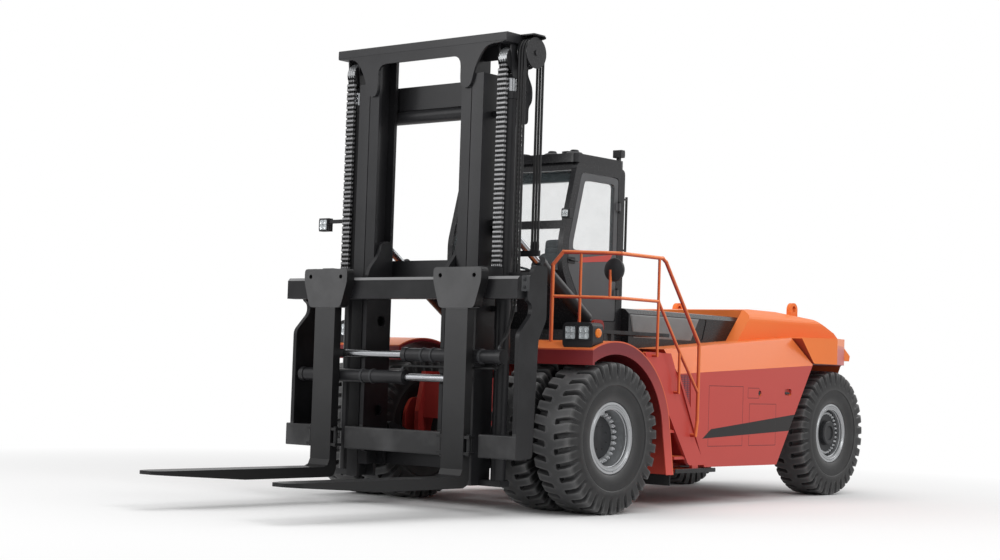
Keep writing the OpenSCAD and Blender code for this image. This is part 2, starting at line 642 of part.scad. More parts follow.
// hose pulley on its axle beside the top beam
module hose_sheave() color("black") at_axle() {
  xrod(beam_half + 4 + seat_gap, beam_half + 150, -870, hose_z, 30);
  xrod(beam_half + 14, beam_half + 136, -870, hose_z, 136 - seat_gap);
  for (x = [beam_half + 10, beam_half + 130]) xrod(x, x + 8, -870, hose_z, 165);
}

module hoses_rear() color("black") at_axle() for (x = hose_x)
  translate([x, -720, 2750]) cylinder(h = hose_z - 2750, r = 14);

module hoses_front() color("black") at_axle() for (x = hose_x)
  translate([x, -1020, 2500]) cylinder(h = hose_z - 2500, r = 14);

// carriage plates, bars, arms, rollers, chain anchors and the hose bracket
module carriage() color("dimgray") at_axle() difference() {
  union() {
    both() {
      slab(rail_in - 60, rail_in - 10, soft([[-1310, 560], [-930, 560], [-930, 2860], [-1110, 2860],
        [-1130, 2720], [-1310, 2520]], 90));
      for (z = [700, 1500, 2450])
        xrod(rail_in - 11, rail_in + 90, -mast_front + rail_d / 2, z, rail_d / 2 - 40.4);
      slab(lift_x - 70, lift_x + 70, soft([[-1420, 2430], [-1080, 2430], [-1080, 2550], [-1380, 2550]], 12));
    }
    for (x = arm_x) slab(x, x + 50, soft([[-carriage_front + 1, 600], [-carriage_front + 1, 1860],
      [-1240, 2060], [-1240, 2160], [-1320, 2200], [-1320, 2430], [-1240, 2470], [-1215, 2560],
      [-1005, 2560], [-1000, 2010], [-1120, 1800], [-1165, 600]], 50));
    for (x = [[arm_x[0] - 60, arm_x[0] + 390], [arm_x[1] - 440, arm_x[1] + 50.5]])
      slab(x[0], x[1], soft([[-carriage_front, 590], [-1300, 590], [-1300, 830],
        [-carriage_front, 830]], 14));
    slab(-bar_half, bar_half, [[-carriage_front, 2210], [-1300, 2210], [-1300, 2440], [-1404, 2440],
      [-carriage_front, 2410]]);
    slab(-rail_in - 90, rail_in + 90, soft([[-carriage_front, 590], [-1300, 590], [-1300, 830],
      [-carriage_front, 830]], 14));
    block(beam_half + 10, arm_x[1] + 10, -1060, -1005, 2440, 2500 - seat_gap);
  }
  for (z = [1380, 1620]) xrod(-800, 800, -1355, z, 70 + seat_gap);
  both() for (z = [1010, 1980]) xrod(rail_in - 100, rail_in + 20, -1080, z, 60);
}

// tubes of the two fork positioner cylinders with end collars
module positioner_barrels() color("dimgray") at_axle() for (s = [-1, 1]) on_side(s) difference() {
  z = s < 0 ? 1380 : 1620;
  mouth = s < 0 ? -110 : 80;
  union() {
    xrod(mouth, 1450, -1355, z, 70);
    for (x = [mouth + 2, 1388]) xrod(x, x + 60, -1355, z, 78);
  }
  xrod(-200, 1400, -1355, z, 40 + run_gap);
}

// hook plate, shank and blade of one fork
module fork(side) color("dimgray") at_axle() on_side(side) {
  x0 = fork_x - fork_w / 2;
  top = fork_low + fork_t;
  translate([fork_x, 0, 0]) difference() {
    cross(-fork_face, -carriage_front - 1, soft([[-325, 2530], [-325, 2390], [-235, 2110], [235, 2110],
      [325, 2390], [325, 2530]], 45));
    for (x = [-230, 230]) yrod(-fork_face - 5, -carriage_front + 5, x, 2445, 24);
  }
  intersection() {
    slab(x0, x0 + fork_w, [[-carriage_front - 1, 2150], [-carriage_front - 1, fork_low + 90],
      [-carriage_front - 28, fork_low + 26], [-carriage_front - 90, fork_low], [-fork_face - 1200, fork_low],
      [-fork_tip, top - 36], [-fork_tip, top], [-fork_face - 70, top], [-fork_face - 18, top + 20],
      [-fork_face + 10, top + 80], [-fork_face + 10, 2150]]);
    plan(0, 3000, soft([[x0 - 1, 0], [x0 + fork_w + 1, 0], [x0 + fork_w + 1, 150 - fork_tip],
      [x0 + fork_w - 55, -fork_tip], [x0 + 55, -fork_tip], [x0 - 1, 150 - fork_tip]], 40));
  }
  for (x = [x0 - 70, x0 + fork_w]) {
    for (z = [612, 778]) block(x - 1, x + 71, -fork_face + 14, -carriage_front - 6, z, z + 30);
    translate([x + 35, -carriage_front - 62, 600]) cylinder(h = 220, r = 24);
  }
  z0 = side > 0 ? 1380 : 1620;
  block(x0, x0 + 45, -carriage_front - 2, -1310, z0 - 45, z0 + 45);
}

module positioner_rod(side) color("silver") at_axle()
  on_side(side) xrod(-700, fork_x - fork_w / 2 - seat_gap, -1355, side > 0 ? 1380 : 1620, 40);

// places a tilt cylinder part along its own line, rod end up and forward
module tilt_frame(side)
  translate([side * tilt_x, tilt_body[0], tilt_body[1]]) rotate([90 - tilt_ang, 0, 0]) children();

module tilt_barrel(side) color("dimgray") at_axle() tilt_frame(side) difference() {
  union() {
    translate([0, 0, 170]) cylinder(h = 1030, r = 80);
    translate([0, 0, 50]) cylinder(h = 125, r = 39);
    translate([0, 0, 1150]) cylinder(h = 60, r = 88);
    xrod(-40, 40, 0, 0, 85);
    xrod(-78, 78, 0, 0, 45);
  }
  translate([0, 0, 200]) cylinder(h = 1140, r = 42 + run_gap);
}

module tilt_rod(side) color("silver") at_axle() tilt_frame(side) difference() {
  union() {
    translate([0, 0, 700]) cylinder(h = tilt_len - 775, r = 42);
    xrod(-40, 40, 0, tilt_len, 95);
  }
  xrod(-50, 50, 0, tilt_len, 60);
}

// tyre ring about the X axis
module tyre() rotate([0, 90, 0]) rotate_extrude($fn = 96) polygon([[rim_od / 2 - 40, -165],
  [rim_od / 2 + 20, -195], [tyre_od * 0.34, -tyre_w / 2], [tyre_od * 0.43, -tyre_w / 2 + 4],
  [tyre_od / 2 - 12, -tyre_w / 2 + 22], [tyre_od / 2, -tyre_w / 2 + 60], [tyre_od / 2, tyre_w / 2 - 60],
  [tyre_od / 2 - 12, tyre_w / 2 - 22], [tyre_od * 0.43, tyre_w / 2 - 4], [tyre_od * 0.34, tyre_w / 2],
  [rim_od / 2 + 20, 195], [rim_od / 2 - 40, 165]]);

module tyres_front(side) color("black") at_axle() on_side(side) for (x = [dual_in, front_half])
  translate([x, 0, wheel_z]) tyre();

// rim ring about the X axis
module rim_ring() rotate([0, 90, 0]) rotate_extrude($fn = 96) polygon([[rim_od / 2 - 40.3, -188],
  [rim_od / 2, -188], [rim_od / 2, -196], [rim_od / 2 - 75, -196], [rim_od / 2 - 75, 196],
  [rim_od / 2, 196], [rim_od / 2, 188], [rim_od / 2 - 40.3, 188]]);

// twin rims with the drum between them and the outer hub
module rims_front(side) color("silver") at_axle() on_side(side) translate([0, 0, wheel_z]) difference() {
  union() {
    for (x = [dual_in, front_half]) translate([x, 0, 0]) rim_ring();
    xrod(dual_in + 192, front_half - 150, 0, 0, rim_od / 2 - 70);
    xrod(front_half - 160, front_half - 60, 0, 0, 200);
    xrod(front_half - 70, front_half + 10, 0, 0, 150);
  }
  xrod(0, front_half - 120, 0, 0, 120 + run_gap);
}

// kingpin block and spindle of one steered wheel
module knuckle(side) color("dimgray") at_axle() on_side(side) translate([0, wheelbase, wheel_z]) {
  translate([king_x, 0, -230]) cylinder(h = 460, r = 55);
  translate([king_x, 0, -145]) cylinder(h = 290, r = 90);
  xrod(king_x, rear_half + 120, 0, 0, 80);
}

module tyre_rear(side) color("black") at_axle() on_side(side)
  translate([rear_half, wheelbase, wheel_z]) tyre();

module rim_rear(side) color("silver") at_axle() on_side(side)
  translate([rear_half, wheelbase, wheel_z]) difference() {
    union() {
      rim_ring();
      xrod(40, 110, 0, 0, rim_od / 2 - 70);
      xrod(-120, 170, 0, 0, 150);
    }
    xrod(-400, 125, 0, 0, 80 + run_gap);
  }
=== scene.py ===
import bpy, bmesh, json, math
from mathutils import Matrix, Vector


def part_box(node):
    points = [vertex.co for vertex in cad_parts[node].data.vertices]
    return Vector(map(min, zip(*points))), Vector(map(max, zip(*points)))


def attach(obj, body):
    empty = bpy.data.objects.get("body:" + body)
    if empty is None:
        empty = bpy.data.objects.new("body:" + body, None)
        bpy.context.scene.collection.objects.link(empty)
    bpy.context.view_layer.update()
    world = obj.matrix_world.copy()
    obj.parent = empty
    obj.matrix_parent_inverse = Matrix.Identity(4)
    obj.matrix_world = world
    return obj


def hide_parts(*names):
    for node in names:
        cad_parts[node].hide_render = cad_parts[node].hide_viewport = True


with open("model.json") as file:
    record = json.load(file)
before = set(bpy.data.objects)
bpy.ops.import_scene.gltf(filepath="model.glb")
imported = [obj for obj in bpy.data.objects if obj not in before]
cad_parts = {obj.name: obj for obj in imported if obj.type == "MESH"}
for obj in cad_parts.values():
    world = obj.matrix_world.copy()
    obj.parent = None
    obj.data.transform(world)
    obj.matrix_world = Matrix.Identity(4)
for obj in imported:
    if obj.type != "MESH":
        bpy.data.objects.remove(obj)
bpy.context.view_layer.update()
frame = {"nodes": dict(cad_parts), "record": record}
nodes = frame["nodes"]
low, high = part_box("drive_axle")
axleY, axleZ = (low.y + high.y) / 2, (low.z + high.z) / 2
print("frame loaded, front axle at", round(axleY, 3))


class Field:
    # a shader socket that takes plain arithmetic
    def __init__(self, tree, socket):
        self.tree, self.socket = tree, socket

    def add(self, kind, settings={}, **inputs):
        # i0, i1 and so on are sockets by number, any other key is a socket's name
        made = self.tree.nodes.new(kind)
        for key, value in settings.items():
            setattr(made, key, value)
        for key, value in inputs.items():
            numbered = key[0] == "i" and key[1:].isdigit()
            target = made.inputs[int(key[1:]) if numbered else key.replace("_", " ")]
            if isinstance(value, Field):
                self.tree.links.new(value.socket, target)
            else:
                target.default_value = value
        return made

    def field(self, kind, settings={}, out=0, **inputs):
        return Field(self.tree, self.add(kind, settings, **inputs).outputs[out])

    def math(self, op, other=0.0, flip=False):
        a, b = (other, self) if flip else (self, other)
        return self.field("ShaderNodeMath", {"operation": op}, i0=a, i1=b)

    def __add__(self, o): return self.math("ADD", o)
    def __radd__(self, o): return self.math("ADD", o, True)
    def __sub__(self, o): return self.math("SUBTRACT", o)
    def __rsub__(self, o): return self.math("SUBTRACT", o, True)
    def __mul__(self, o): return self.math("MULTIPLY", o)
    def __rmul__(self, o): return self.math("MULTIPLY", o, True)
    def __truediv__(self, o): return self.math("DIVIDE", o)
    def __rtruediv__(self, o): return self.math("DIVIDE", o, True)
    def __neg__(self): return self.math("MULTIPLY", -1.0)
    def __abs__(self): return self.math("ABSOLUTE")
    def over(self, edge): return self.math("GREATER_THAN", edge)
    def under(self, edge): return self.math("LESS_THAN", edge)
    def near(self, at, width): return abs(self - at).under(width)
    def sine(self): return self.math("SINE")
    def clamp(self): return self.field("ShaderNodeClamp", i0=self)
    def part(self, letter): return self.field("ShaderNodeSeparateXYZ", out="xyz".index(letter), i0=self)
    def surface(self, what): return self.field("ShaderNodeNewGeometry", out=what)

    def noise(self, scale, detail=4.0):
        return self.field("ShaderNodeTexNoise", Vector=self, Scale=scale, Detail=detail)

    def mix(self, a, b):
        # colour a where this is 0, colour b where it is 1
        made = self.add("ShaderNodeMix", {"data_type": "RGBA"})
        self.tree.links.new(self.socket, made.inputs[0])
        for spot, value in ((6, a), (7, b)):
            if isinstance(value, Field):
                self.tree.links.new(value.socket, made.inputs[spot])
            else:
                made.inputs[spot].default_value = (*value[:3], 1)
        return Field(self.tree, made.outputs[2])


def newMaterial(name):
    mat = bpy.data.materials.new(name)
    mat.use_nodes = True
    tree = mat.node_tree
    shader = tree.nodes["Principled BSDF"]
    coords = tree.nodes.new("ShaderNodeTexCoord")
    return mat, shader, Field(tree, coords.outputs["Object"])


def feed(shader, **values):
    for key, value in values.items():
        target = shader.inputs[key.replace("_", " ")]
        if isinstance(value, Field):
            value.tree.links.new(value.socket, target)
        else:
            target.default_value = (*value, 1) if isinstance(value, tuple) and len(value) == 3 else value


def srgb(*levels):
    shares = (level / 255 for level in levels)
    return tuple(c / 12.92 if c <= 0.04045 else ((c + 0.055) / 1.055) ** 2.4 for c in shares)


def bumpFrom(shader, height, strength, distance=0.002):
    ridge = height.add("ShaderNodeBump", {}, Strength=strength, Distance=distance, Height=height)
    height.tree.links.new(ridge.outputs[0], shader.inputs["Normal"])


def paint(name, color, rough=0.4, coat=0.0, metal=0.0, mottle=0.06, bump=0.0, grain=60.0, gloss=0.22):
    # one finish with slow mottling, fine roughness and a painted highlight that lightens sharp edges
    mat, shader, place = newMaterial(name)
    fine = place.noise(grain, 3.0)
    shade = (place.noise(2.3, 5.0) - 0.5) * 1.6 + 0.5
    # painted highlight: sharp edges get a lighter copy of the colour
    worn = ((place.surface("Pointiness") - 0.54) * 6.0).clamp() * fine
    dark = tuple(c * (1 - mottle * 2) for c in color)
    light = tuple(min(1, c * (1 + mottle * 2)) for c in color)
    edge = tuple(min(1, c * 1.25 + 0.02) for c in color)
    tone = worn.mix(shade.clamp().mix(dark, light), edge)
    feed(shader, Base_Color=tone, Roughness=rough + (fine - 0.5) * 0.14, Metallic=metal, Coat_Weight=coat,
         Coat_Roughness=0.15, Specular_IOR_Level=gloss)
    if bump:
        bumpFrom(shader, fine, bump)
    return mat


# side is the coral paint; top is painted light for faces that look up, shade is painted shade for faces that
# look down; stripe and seam are the black flash and the door seams
bodyTones = {"side": srgb(196, 74, 66), "top": srgb(247, 132, 68), "shade": srgb(128, 36, 40),
             "stripe": srgb(26, 22, 22), "seam": srgb(120, 36, 34)}
# the frame takes darker copies of the body's tones, painted shade for where it sits under the body and
# between the masts
chassisShadeTones = {"side": srgb(158, 50, 46), "top": srgb(186, 66, 52), "shade": srgb(96, 28, 32)}
# heights on the counterweight where the painted light changes
humpMarks = {"litOrangeFrom": 1.5, "tailTop": 1.95}
# y from the front axle; a door is y0, z0, y1, z1, and an edge of the flash is y, z and its slope
flankMarks = {"face": 1.46, "seam": 0.004,
              "doors": ((2.36, 0.68, 3.10, 1.385), (3.21, 1.25, 3.46, 1.37), (3.25, 0.68, 3.86, 1.18)),
              "flashLow": (2.24, 0.77, 0.0428), "flashTop": (2.42, 0.88, 0.0925), "flashNose": 1.636}


def flankMasks(place):
    # black flash and the seams of the service doors on both flanks
    x, y, z = (place.part(letter) for letter in "xyz")
    y = y - axleY
    flank = abs(x).over(flankMarks["face"])
    lowY, lowZ, lowSlope = flankMarks["flashLow"]
    topY, topZ, topSlope = flankMarks["flashTop"]
    flash = (z - (y - lowY) * lowSlope).over(lowZ) * (z - (y - topY) * topSlope).under(topZ)
    flash = flash * (y - (z - lowZ) * flankMarks["flashNose"]).over(lowY) * flank
    seam, seams = flankMarks["seam"], 0.0
    for y0, z0, y1, z1 in flankMarks["doors"]:
        inY = y.over(y0 - seam) * y.under(y1 + seam)
        inZ = z.over(z0 - seam) * z.under(z1 + seam)
        edge = (y.near(y0, seam) + y.near(y1, seam)) * inZ + (z.near(z0, seam) + z.near(z1, seam)) * inY
        seams = edge + seams
    return flash, (seams * flank).clamp()


def bodyPaint(name, decorated=False, hump=False, tones=bodyTones):
    # coral on upright faces, with painted light: orange where a face looks up, painted shade in dark red
    # underneath
    mat, shader, place = newMaterial(name)
    up = place.surface("Normal").part("z")
    fine = place.noise(70.0, 3.0)
    slow = (place.noise(1.1, 4.0) - 0.5) * 0.5
    litMix = ((up - 0.02) * 2.6 + slow * 0.3).clamp()
    if hump:
        # painted light on the rounded casting above the flanks: lit orange from a set height up, its
        # rear-facing upright tail kept coral as painted shade
        z = place.part("z")
        shadedTail = ((place.surface("Normal").part("y") - 0.25) * 6.0).clamp() * z.under(humpMarks["tailTop"])
        litMix = (litMix + (z - humpMarks["litOrangeFrom"]) * 9.0 - shadedTail * 4.0).clamp()
    # painted light: lit orange on faces that look up, then painted shade in dark red on faces that look down
    tone = litMix.mix(tones["side"], tones["top"])
    tone = (-up * 1.2 - slow * 0.3).clamp().mix(tone, tones["shade"])
    height = fine * 0.15
    if decorated:
        flash, seams = flankMasks(place)
        tone = flash.mix(seams.mix(tone, tones["seam"]), tones["stripe"])
        height = height - seams
    feed(shader, Base_Color=tone, Roughness=0.34 + (fine - 0.5) * 0.1 + slow * 0.1, Coat_Roughness=0.12,
         Coat_Weight=0.0 if hump else 0.08, Specular_IOR_Level=0.1 if hump else 0.25)
    bumpFrom(shader, height, 0.25, 0.003)
    return mat


arch = {"out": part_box("fenders")[1].z - axleZ, "roll": 0.014, "tailFrom": 0.1}


def fenderPaint(name):
    # arches: painted shade in dark red high up, coral towards the tail, a painted highlight in orange along
    # the rolled edge, lit orange on faces that look up and painted shade on faces that look down
    mat, shader, place = newMaterial(name)
    up = place.surface("Normal").part("z")
    fine = place.noise(70.0, 3.0)
    slow = (place.noise(1.3, 4.0) - 0.5) * 0.3
    y, z = place.part("y") - axleY, place.part("z") - axleZ
    # painted shade: dark red high up under the arch, coral lower down
    tone = ((0.95 - z) / 1.3 + slow).clamp().mix(srgb(118, 38, 44), srgb(206, 80, 68))
    reach = (y * y + z * z).math("SQRT")
    # painted highlight along the rolled edge of the arch
    litRim = reach.over(arch["out"] - arch["roll"]) * z.over(arch["tailFrom"])
    litRim = litRim + (y + z * 0.17).over(arch["out"] + 0.002) * z.under(arch["tailFrom"])
    tone = (litRim.clamp() * 0.8).mix(tone, srgb(226, 104, 66))
    # painted light: lit orange on faces that look up, painted shade on faces that look down
    tone = ((up - 0.05) * 2.6).clamp().mix(tone, bodyTones["top"])
    tone = ((-up - 0.25) * 1.6).clamp().mix(tone, bodyTones["shade"])
    feed(shader, Base_Color=tone, Roughness=0.36 + (fine - 0.5) * 0.1, Coat_Weight=0.08, Coat_Roughness=0.12,
         Specular_IOR_Level=0.25)
    bumpFrom(shader, fine, 0.05)
    return mat


def railPaint(name):
    # guard tubes: painted light, lit orange on faces towards the sky and the flanks, shaded red on faces
    # towards the front and the ground
    mat, shader, place = newMaterial(name)
    facing = place.surface("Normal")
    fine = place.noise(80.0, 3.0)
    # painted light: faces looking up and to the flanks lit orange, the rest shaded red
    litMix = (facing.part("z") * 0.7 + abs(facing.part("x")) * 0.75 + (fine - 0.5) * 0.2 - 0.05).clamp()
    tone = litMix.mix(srgb(164, 56, 46), srgb(248, 136, 66))
    feed(shader, Base_Color=tone, Roughness=0.36 + (fine - 0.5) * 0.1, Coat_Weight=0.1, Coat_Roughness=0.12,
         Specular_IOR_Level=0.25)
    bumpFrom(shader, fine, 0.06)
    return mat


carriageMarks = {"highlightLow": 2.4, "highlightTop": 2.45, "lowBarTop": 0.85}


def carriagePaint(name):
    # black paint with a painted highlight on the upper bar's chamfer and a scuffed lower bar
    mat, shader, place = newMaterial(name)
    facing = place.surface("Normal")
    z = place.part("z")
    fine = place.noise(60.0, 3.0)
    scuff = ((place.noise(2.6, 6.0) - 0.42) * 3.0).clamp()
    tone = scuff.mix(srgb(24, 24, 26), srgb(40, 40, 42))
    lowBar = facing.part("y").under(-0.6) * z.under(carriageMarks["lowBarTop"])
    tone = lowBar.mix(tone, scuff.mix(srgb(48, 48, 49), srgb(76, 76, 77)))
    # painted highlight along the chamfer at the top of the upper bar
    strip = z.over(carriageMarks["highlightLow"]) * z.under(carriageMarks["highlightTop"])
    strip = strip * facing.part("y").under(-0.1) * facing.part("z").over(0.2)
    feed(shader, Base_Color=strip.mix(tone, srgb(128, 128, 129)), Roughness=0.36 + (fine - 0.5) * 0.16,
         Specular_IOR_Level=0.22)
    bumpFrom(shader, fine, 0.05)
    return mat


forkMarks = {"hooksFrom": 2.1, "bladeTop": 0.35}


def forkPaint(name):
    # forks: worn grey at the hooks, painted shade darker down the shank and on the side faces, rubbed on top
    # of the blade
    mat, shader, place = newMaterial(name)
    facing = place.surface("Normal")
    z = place.part("z")
    fine = place.noise(60.0, 3.0)
    scuff = (place.noise(3.4, 6.0) - 0.5) * 1.2
    rubbed = (scuff + 0.5).clamp()
    # painted shade: darker towards the bottom of the shank
    tone = ((z - 0.3) / 1.9 + scuff * 0.3).clamp().mix(srgb(26, 26, 27), srgb(64, 64, 65))
    tone = z.over(forkMarks["hooksFrom"]).mix(tone, rubbed.mix(srgb(66, 66, 67), srgb(92, 92, 93)))
    # painted shade on the side faces
    tone = abs(facing.part("x")).over(0.7).mix(tone, srgb(26, 26, 27))
    blade = facing.part("z").over(0.6) * z.under(forkMarks["bladeTop"])
    tone = blade.mix(tone, rubbed.mix(srgb(40, 40, 41), srgb(62, 62, 63)))
    feed(shader, Base_Color=tone, Roughness=0.38 + (fine - 0.5) * 0.16, Specular_IOR_Level=0.22)
    bumpFrom(shader, fine, 0.05)
    return mat


leafChain = {"pitch": 0.05, "wide": 0.12, "plates": 9, "inset": 0.004, "thick": 0.0105, "half": 0.0195,
             "waist": 0.0115, "pin": 0.009, "pinShort": 0.001}


def chainFinish(name):
    # leaf chain: oiled plates, with painted highlights in bands at each pin
    mat, shader, place = newMaterial(name)
    z = place.part("z") - (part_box("chains_front")[0].z + leafChain["half"])
    # painted highlight bands, one at each pin
    rungs = (z * (2 * math.pi / leafChain["pitch"]) + math.pi / 2).sine()
    pinGlint = ((rungs + 0.1) * 1.6).clamp()
    worn = place.noise(30.0)
    feed(shader, Base_Color=pinGlint.mix(srgb(20, 20, 21), srgb(148, 148, 150)), Metallic=0.3,
         Roughness=0.36 + (worn - 0.5) * 0.3)
    bumpFrom(shader, worn, 0.15)
    return mat


def rubber(name):
    # painted light: tread paler and side walls darker, with a painted highlight on the lug edges; dust in
    # patches
    mat, shader, place = newMaterial(name)
    # painted shade on the side walls
    wall = (abs(place.surface("True Normal").part("x")) * 2.5 - 1.0).clamp()
    dust = place.noise(3.0, 5.0)
    fine = place.noise(90.0, 4.0)
    # painted highlight along the lug edges
    worn = ((place.surface("Pointiness") - 0.508) * 22.0).clamp() * (fine * 0.7 + 0.3)
    tone = wall.mix(srgb(68, 68, 69), srgb(24, 24, 25))
    tone = ((dust - 0.5) * 2.0).clamp().mix(tone, srgb(54, 54, 54))
    feed(shader, Base_Color=worn.clamp().mix(tone, srgb(112, 112, 112)), Roughness=0.46 + (fine - 0.5) * 0.3,
         Specular_IOR_Level=0.35)
    bumpFrom(shader, fine, 0.2)
    return mat


def cloth(name, threads=2100.0):
    # plain weave with slow shading
    mat, shader, place = newMaterial(name)
    x, y, z = (place.part(letter) * threads for letter in "xyz")
    weave = x.sine() * (z + y).sine()
    shade = ((place.noise(9.0) - 0.3) * 1.6).clamp()
    feed(shader, Base_Color=shade.mix(srgb(66, 66, 69), srgb(98, 98, 101)), Roughness=0.88)
    bumpFrom(shader, weave, 0.3, 0.001)
    return mat


def glassy(name, color, alpha, rough=0.03):
    mat, shader, place = newMaterial(name)
    haze = place.noise(5.0)
    feed(shader, Base_Color=color, Roughness=rough + (haze - 0.3) * 0.05, Alpha=alpha + (haze - 0.5) * 0.06)
    return mat


looks = {
    "body_paint": bodyPaint("bodyPaint"),
    "mast_paint": paint("mastPaint", srgb(38, 38, 40), 0.34, mottle=0.14),
    "fork_steel": forkPaint("forkPaint"),
    "chrome_rod": paint("chromeRod", srgb(158, 160, 163), 0.2, metal=1.0, mottle=0.04),
    "axle_paint": paint("axlePaint", srgb(30, 30, 32), 0.5, mottle=0.08),
    "chain_steel": chainFinish("chainSteel"),
    "hose_rubber": paint("hoseRubber", srgb(36, 36, 37), 0.55, bump=0.1),
    "black_paint": paint("blackPaint", srgb(34, 34, 36), 0.26, coat=0.1),
    "seat_cloth": cloth("seatCloth"),
    "cab_plastic": paint("cabPlastic", srgb(36, 36, 37), 0.6, bump=0.15, grain=220.0),
    "lamp_plastic": paint("lampPlastic", srgb(40, 40, 42), 0.45, bump=0.1, grain=200.0),
    "tyre_rubber": rubber("tyreRubber"),
    "rim_paint": paint("rimPaint", srgb(158, 160, 162), 0.34, metal=0.5, mottle=0.06),
    "cab_glass": glassy("cabGlass", srgb(150, 164, 168), 0.08),
}
louvreGrey = paint("louvreGrey", srgb(126, 128, 129), 0.42, mottle=0.05)
panelGrey = paint("panelGrey", srgb(84, 85, 87), 0.4)
hubGrey = paint("hubGrey", srgb(50, 51, 53), 0.42, mottle=0.08)
ventGrey = paint("ventGrey", srgb(118, 70, 82), 0.5)
boltZinc = paint("boltZinc", srgb(204, 206, 208), 0.35, metal=0.2, mottle=0.04, grain=14.0)
nutSteel = paint("nutSteel", srgb(172, 174, 176), 0.3, metal=0.6, mottle=0.05, grain=14.0)
lensClear = glassy("lensClear", srgb(226, 232, 235), 0.3)
lensAmber = glassy("lensAmber", srgb(240, 128, 30), 0.85, 0.12)
reflector = paint("reflector", srgb(222, 224, 226), 0.16, metal=0.8, mottle=0.02)
mirrorFace = paint("mirrorFace", srgb(210, 214, 218), 0.06, metal=1.0, mottle=0.01)

# nodes whose finish differs from that of their slot
ownLook = {
    "side_bodies": bodyPaint("flankPaint", decorated=True),
    "counterweight": bodyPaint("humpPaint", hump=True),
    "frame": bodyPaint("chassisShadedRed", tones=chassisShadeTones),
    "fenders": fenderPaint("fenderPaint"),
    "railing": railPaint("railPaint"),
    "carriage": carriagePaint("carriagePaint"),
    "grilles": louvreGrey,
    "door": panelGrey,
}
for part in frame["record"]["subparts"]:
    mesh = nodes[part["node"]].data
    mesh.materials.clear()
    mesh.materials.append(ownLook.get(part["node"], looks[part["material_slot"]]))
print("materials set")


along = {"x": Vector((1, 0, 0)), "y": Vector((0, 1, 0)), "z": Vector((0, 0, 1))}
across = {"x": (along["y"], along["z"]), "y": (along["x"], along["z"]), "z": (along["x"], along["y"])}


def newPiece(name, bm, body, mat, crease=35, bevel=0.0):
    bmesh.ops.remove_doubles(bm, verts=bm.verts, dist=1e-5)
    bmesh.ops.recalc_face_normals(bm, faces=bm.faces)
    mesh = bpy.data.meshes.new(name)
    bm.to_mesh(mesh)
    bm.free()
    mesh.materials.append(mat)
    mesh.polygons.foreach_set("use_smooth", [True] * len(mesh.polygons))
    mesh.set_sharp_from_angle(angle=math.radians(crease))
    piece = bpy.data.objects.new(name, mesh)
    bpy.context.scene.collection.objects.link(piece)
    if bevel:
        edge = piece.modifiers.new("edge", "BEVEL")
        edge.width, edge.segments, edge.limit_method = bevel, 2, "ANGLE"
    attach(piece, body)
    return piece


def bridge(bm, a, b):
    # band of faces between two closed rows of points
    for k in range(len(a)):
        n = (k + 1) % len(a)
        bm.faces.new((a[k], a[n], b[n], b[k]))


def closeEnds(bm, ends):
    # solid between two outlines
    bm.faces.new(ends[0])
    bm.faces.new(ends[1][::-1])
    bridge(bm, *ends)


def lathe(bm, center, axis, profile, steps=48, facing=1):
    # revolves (radius, distance) pairs about an axis
    u, v = across[axis]
    rings = []
    for radius, far in profile:
        base = Vector(center) + along[axis] * far * facing
        if radius < 1e-6:
            rings.append([bm.verts.new(base)] * steps)
            continue
        turns = (2 * math.pi * k / steps for k in range(steps))
        rings.append([bm.verts.new(base + (u * math.cos(a) + v * math.sin(a)) * radius) for a in turns])
    for inner, outer in zip(rings, rings[1:]):
        for k in range(steps):
            corners = (inner[k], inner[(k + 1) % steps], outer[(k + 1) % steps], outer[k])
            corners = tuple(dict.fromkeys(corners))
            if len(corners) > 2:
                bm.faces.new(corners)


def tube(bm, points, radius, sides=10):
    # round bar along points with closed ends
    points = [Vector(p) for p in points]
    ways = [(b - a).normalized() for a, b in zip(points, points[1:])]
    ways = [ways[0]] + [(a + b).normalized() for a, b in zip(ways, ways[1:])] + [ways[-1]]
    out = ways[0].orthogonal().normalized()
    rings = []
    for point, way in zip(points, ways):
        out = (out - way * out.dot(way)).normalized()
        other = way.cross(out)
        turns = (2 * math.pi * k / sides for k in range(sides))
        ring = (point + (out * math.cos(a) + other * math.sin(a)) * radius for a in turns)
        rings.append([bm.verts.new(spot) for spot in ring])
    for a, b in zip(rings, rings[1:]):
        bridge(bm, a, b)
    bm.faces.new(rings[0])
    bm.faces.new(rings[-1][::-1])


def smoothRoute(points, steps=8):
    # even curve through the given places
    points = [Vector(p) for p in points]
    points = [points[0] * 2 - points[1]] + points + [points[-1] * 2 - points[-2]]
    out = []
    for a, b, c, d in zip(points, points[1:], points[2:], points[3:]):
        for k in range(steps):
            t = k / steps
            bend = (a * 2 - b * 5 + c * 4 - d) + (b * 3 - a - c * 3 + d) * t
            out.append(b + ((c - a) + bend * t) * (t / 2))
    return out + [points[-2]]


def plate(bm, axis, outline, near, far):
    # prism of a flat outline between two places on an axis
    u, v = across[axis]
    closeEnds(bm, [[bm.verts.new(along[axis] * d + u * p + v * q) for p, q in outline] for d in (near, far)])


def rounded(p0, q0, p1, q1, radius, steps=4):
    # rectangle with round corners
    corners = ((p1 - radius, q1 - radius, 0), (p0 + radius, q1 - radius, 1),
               (p0 + radius, q0 + radius, 2), (p1 - radius, q0 + radius, 3))
    outline = []
    for p, q, quarter in corners:
        for k in range(steps + 1):
            a = math.pi / 2 * (quarter + k / steps)
            outline.append((p + radius * math.cos(a), q + radius * math.sin(a)))
    return outline


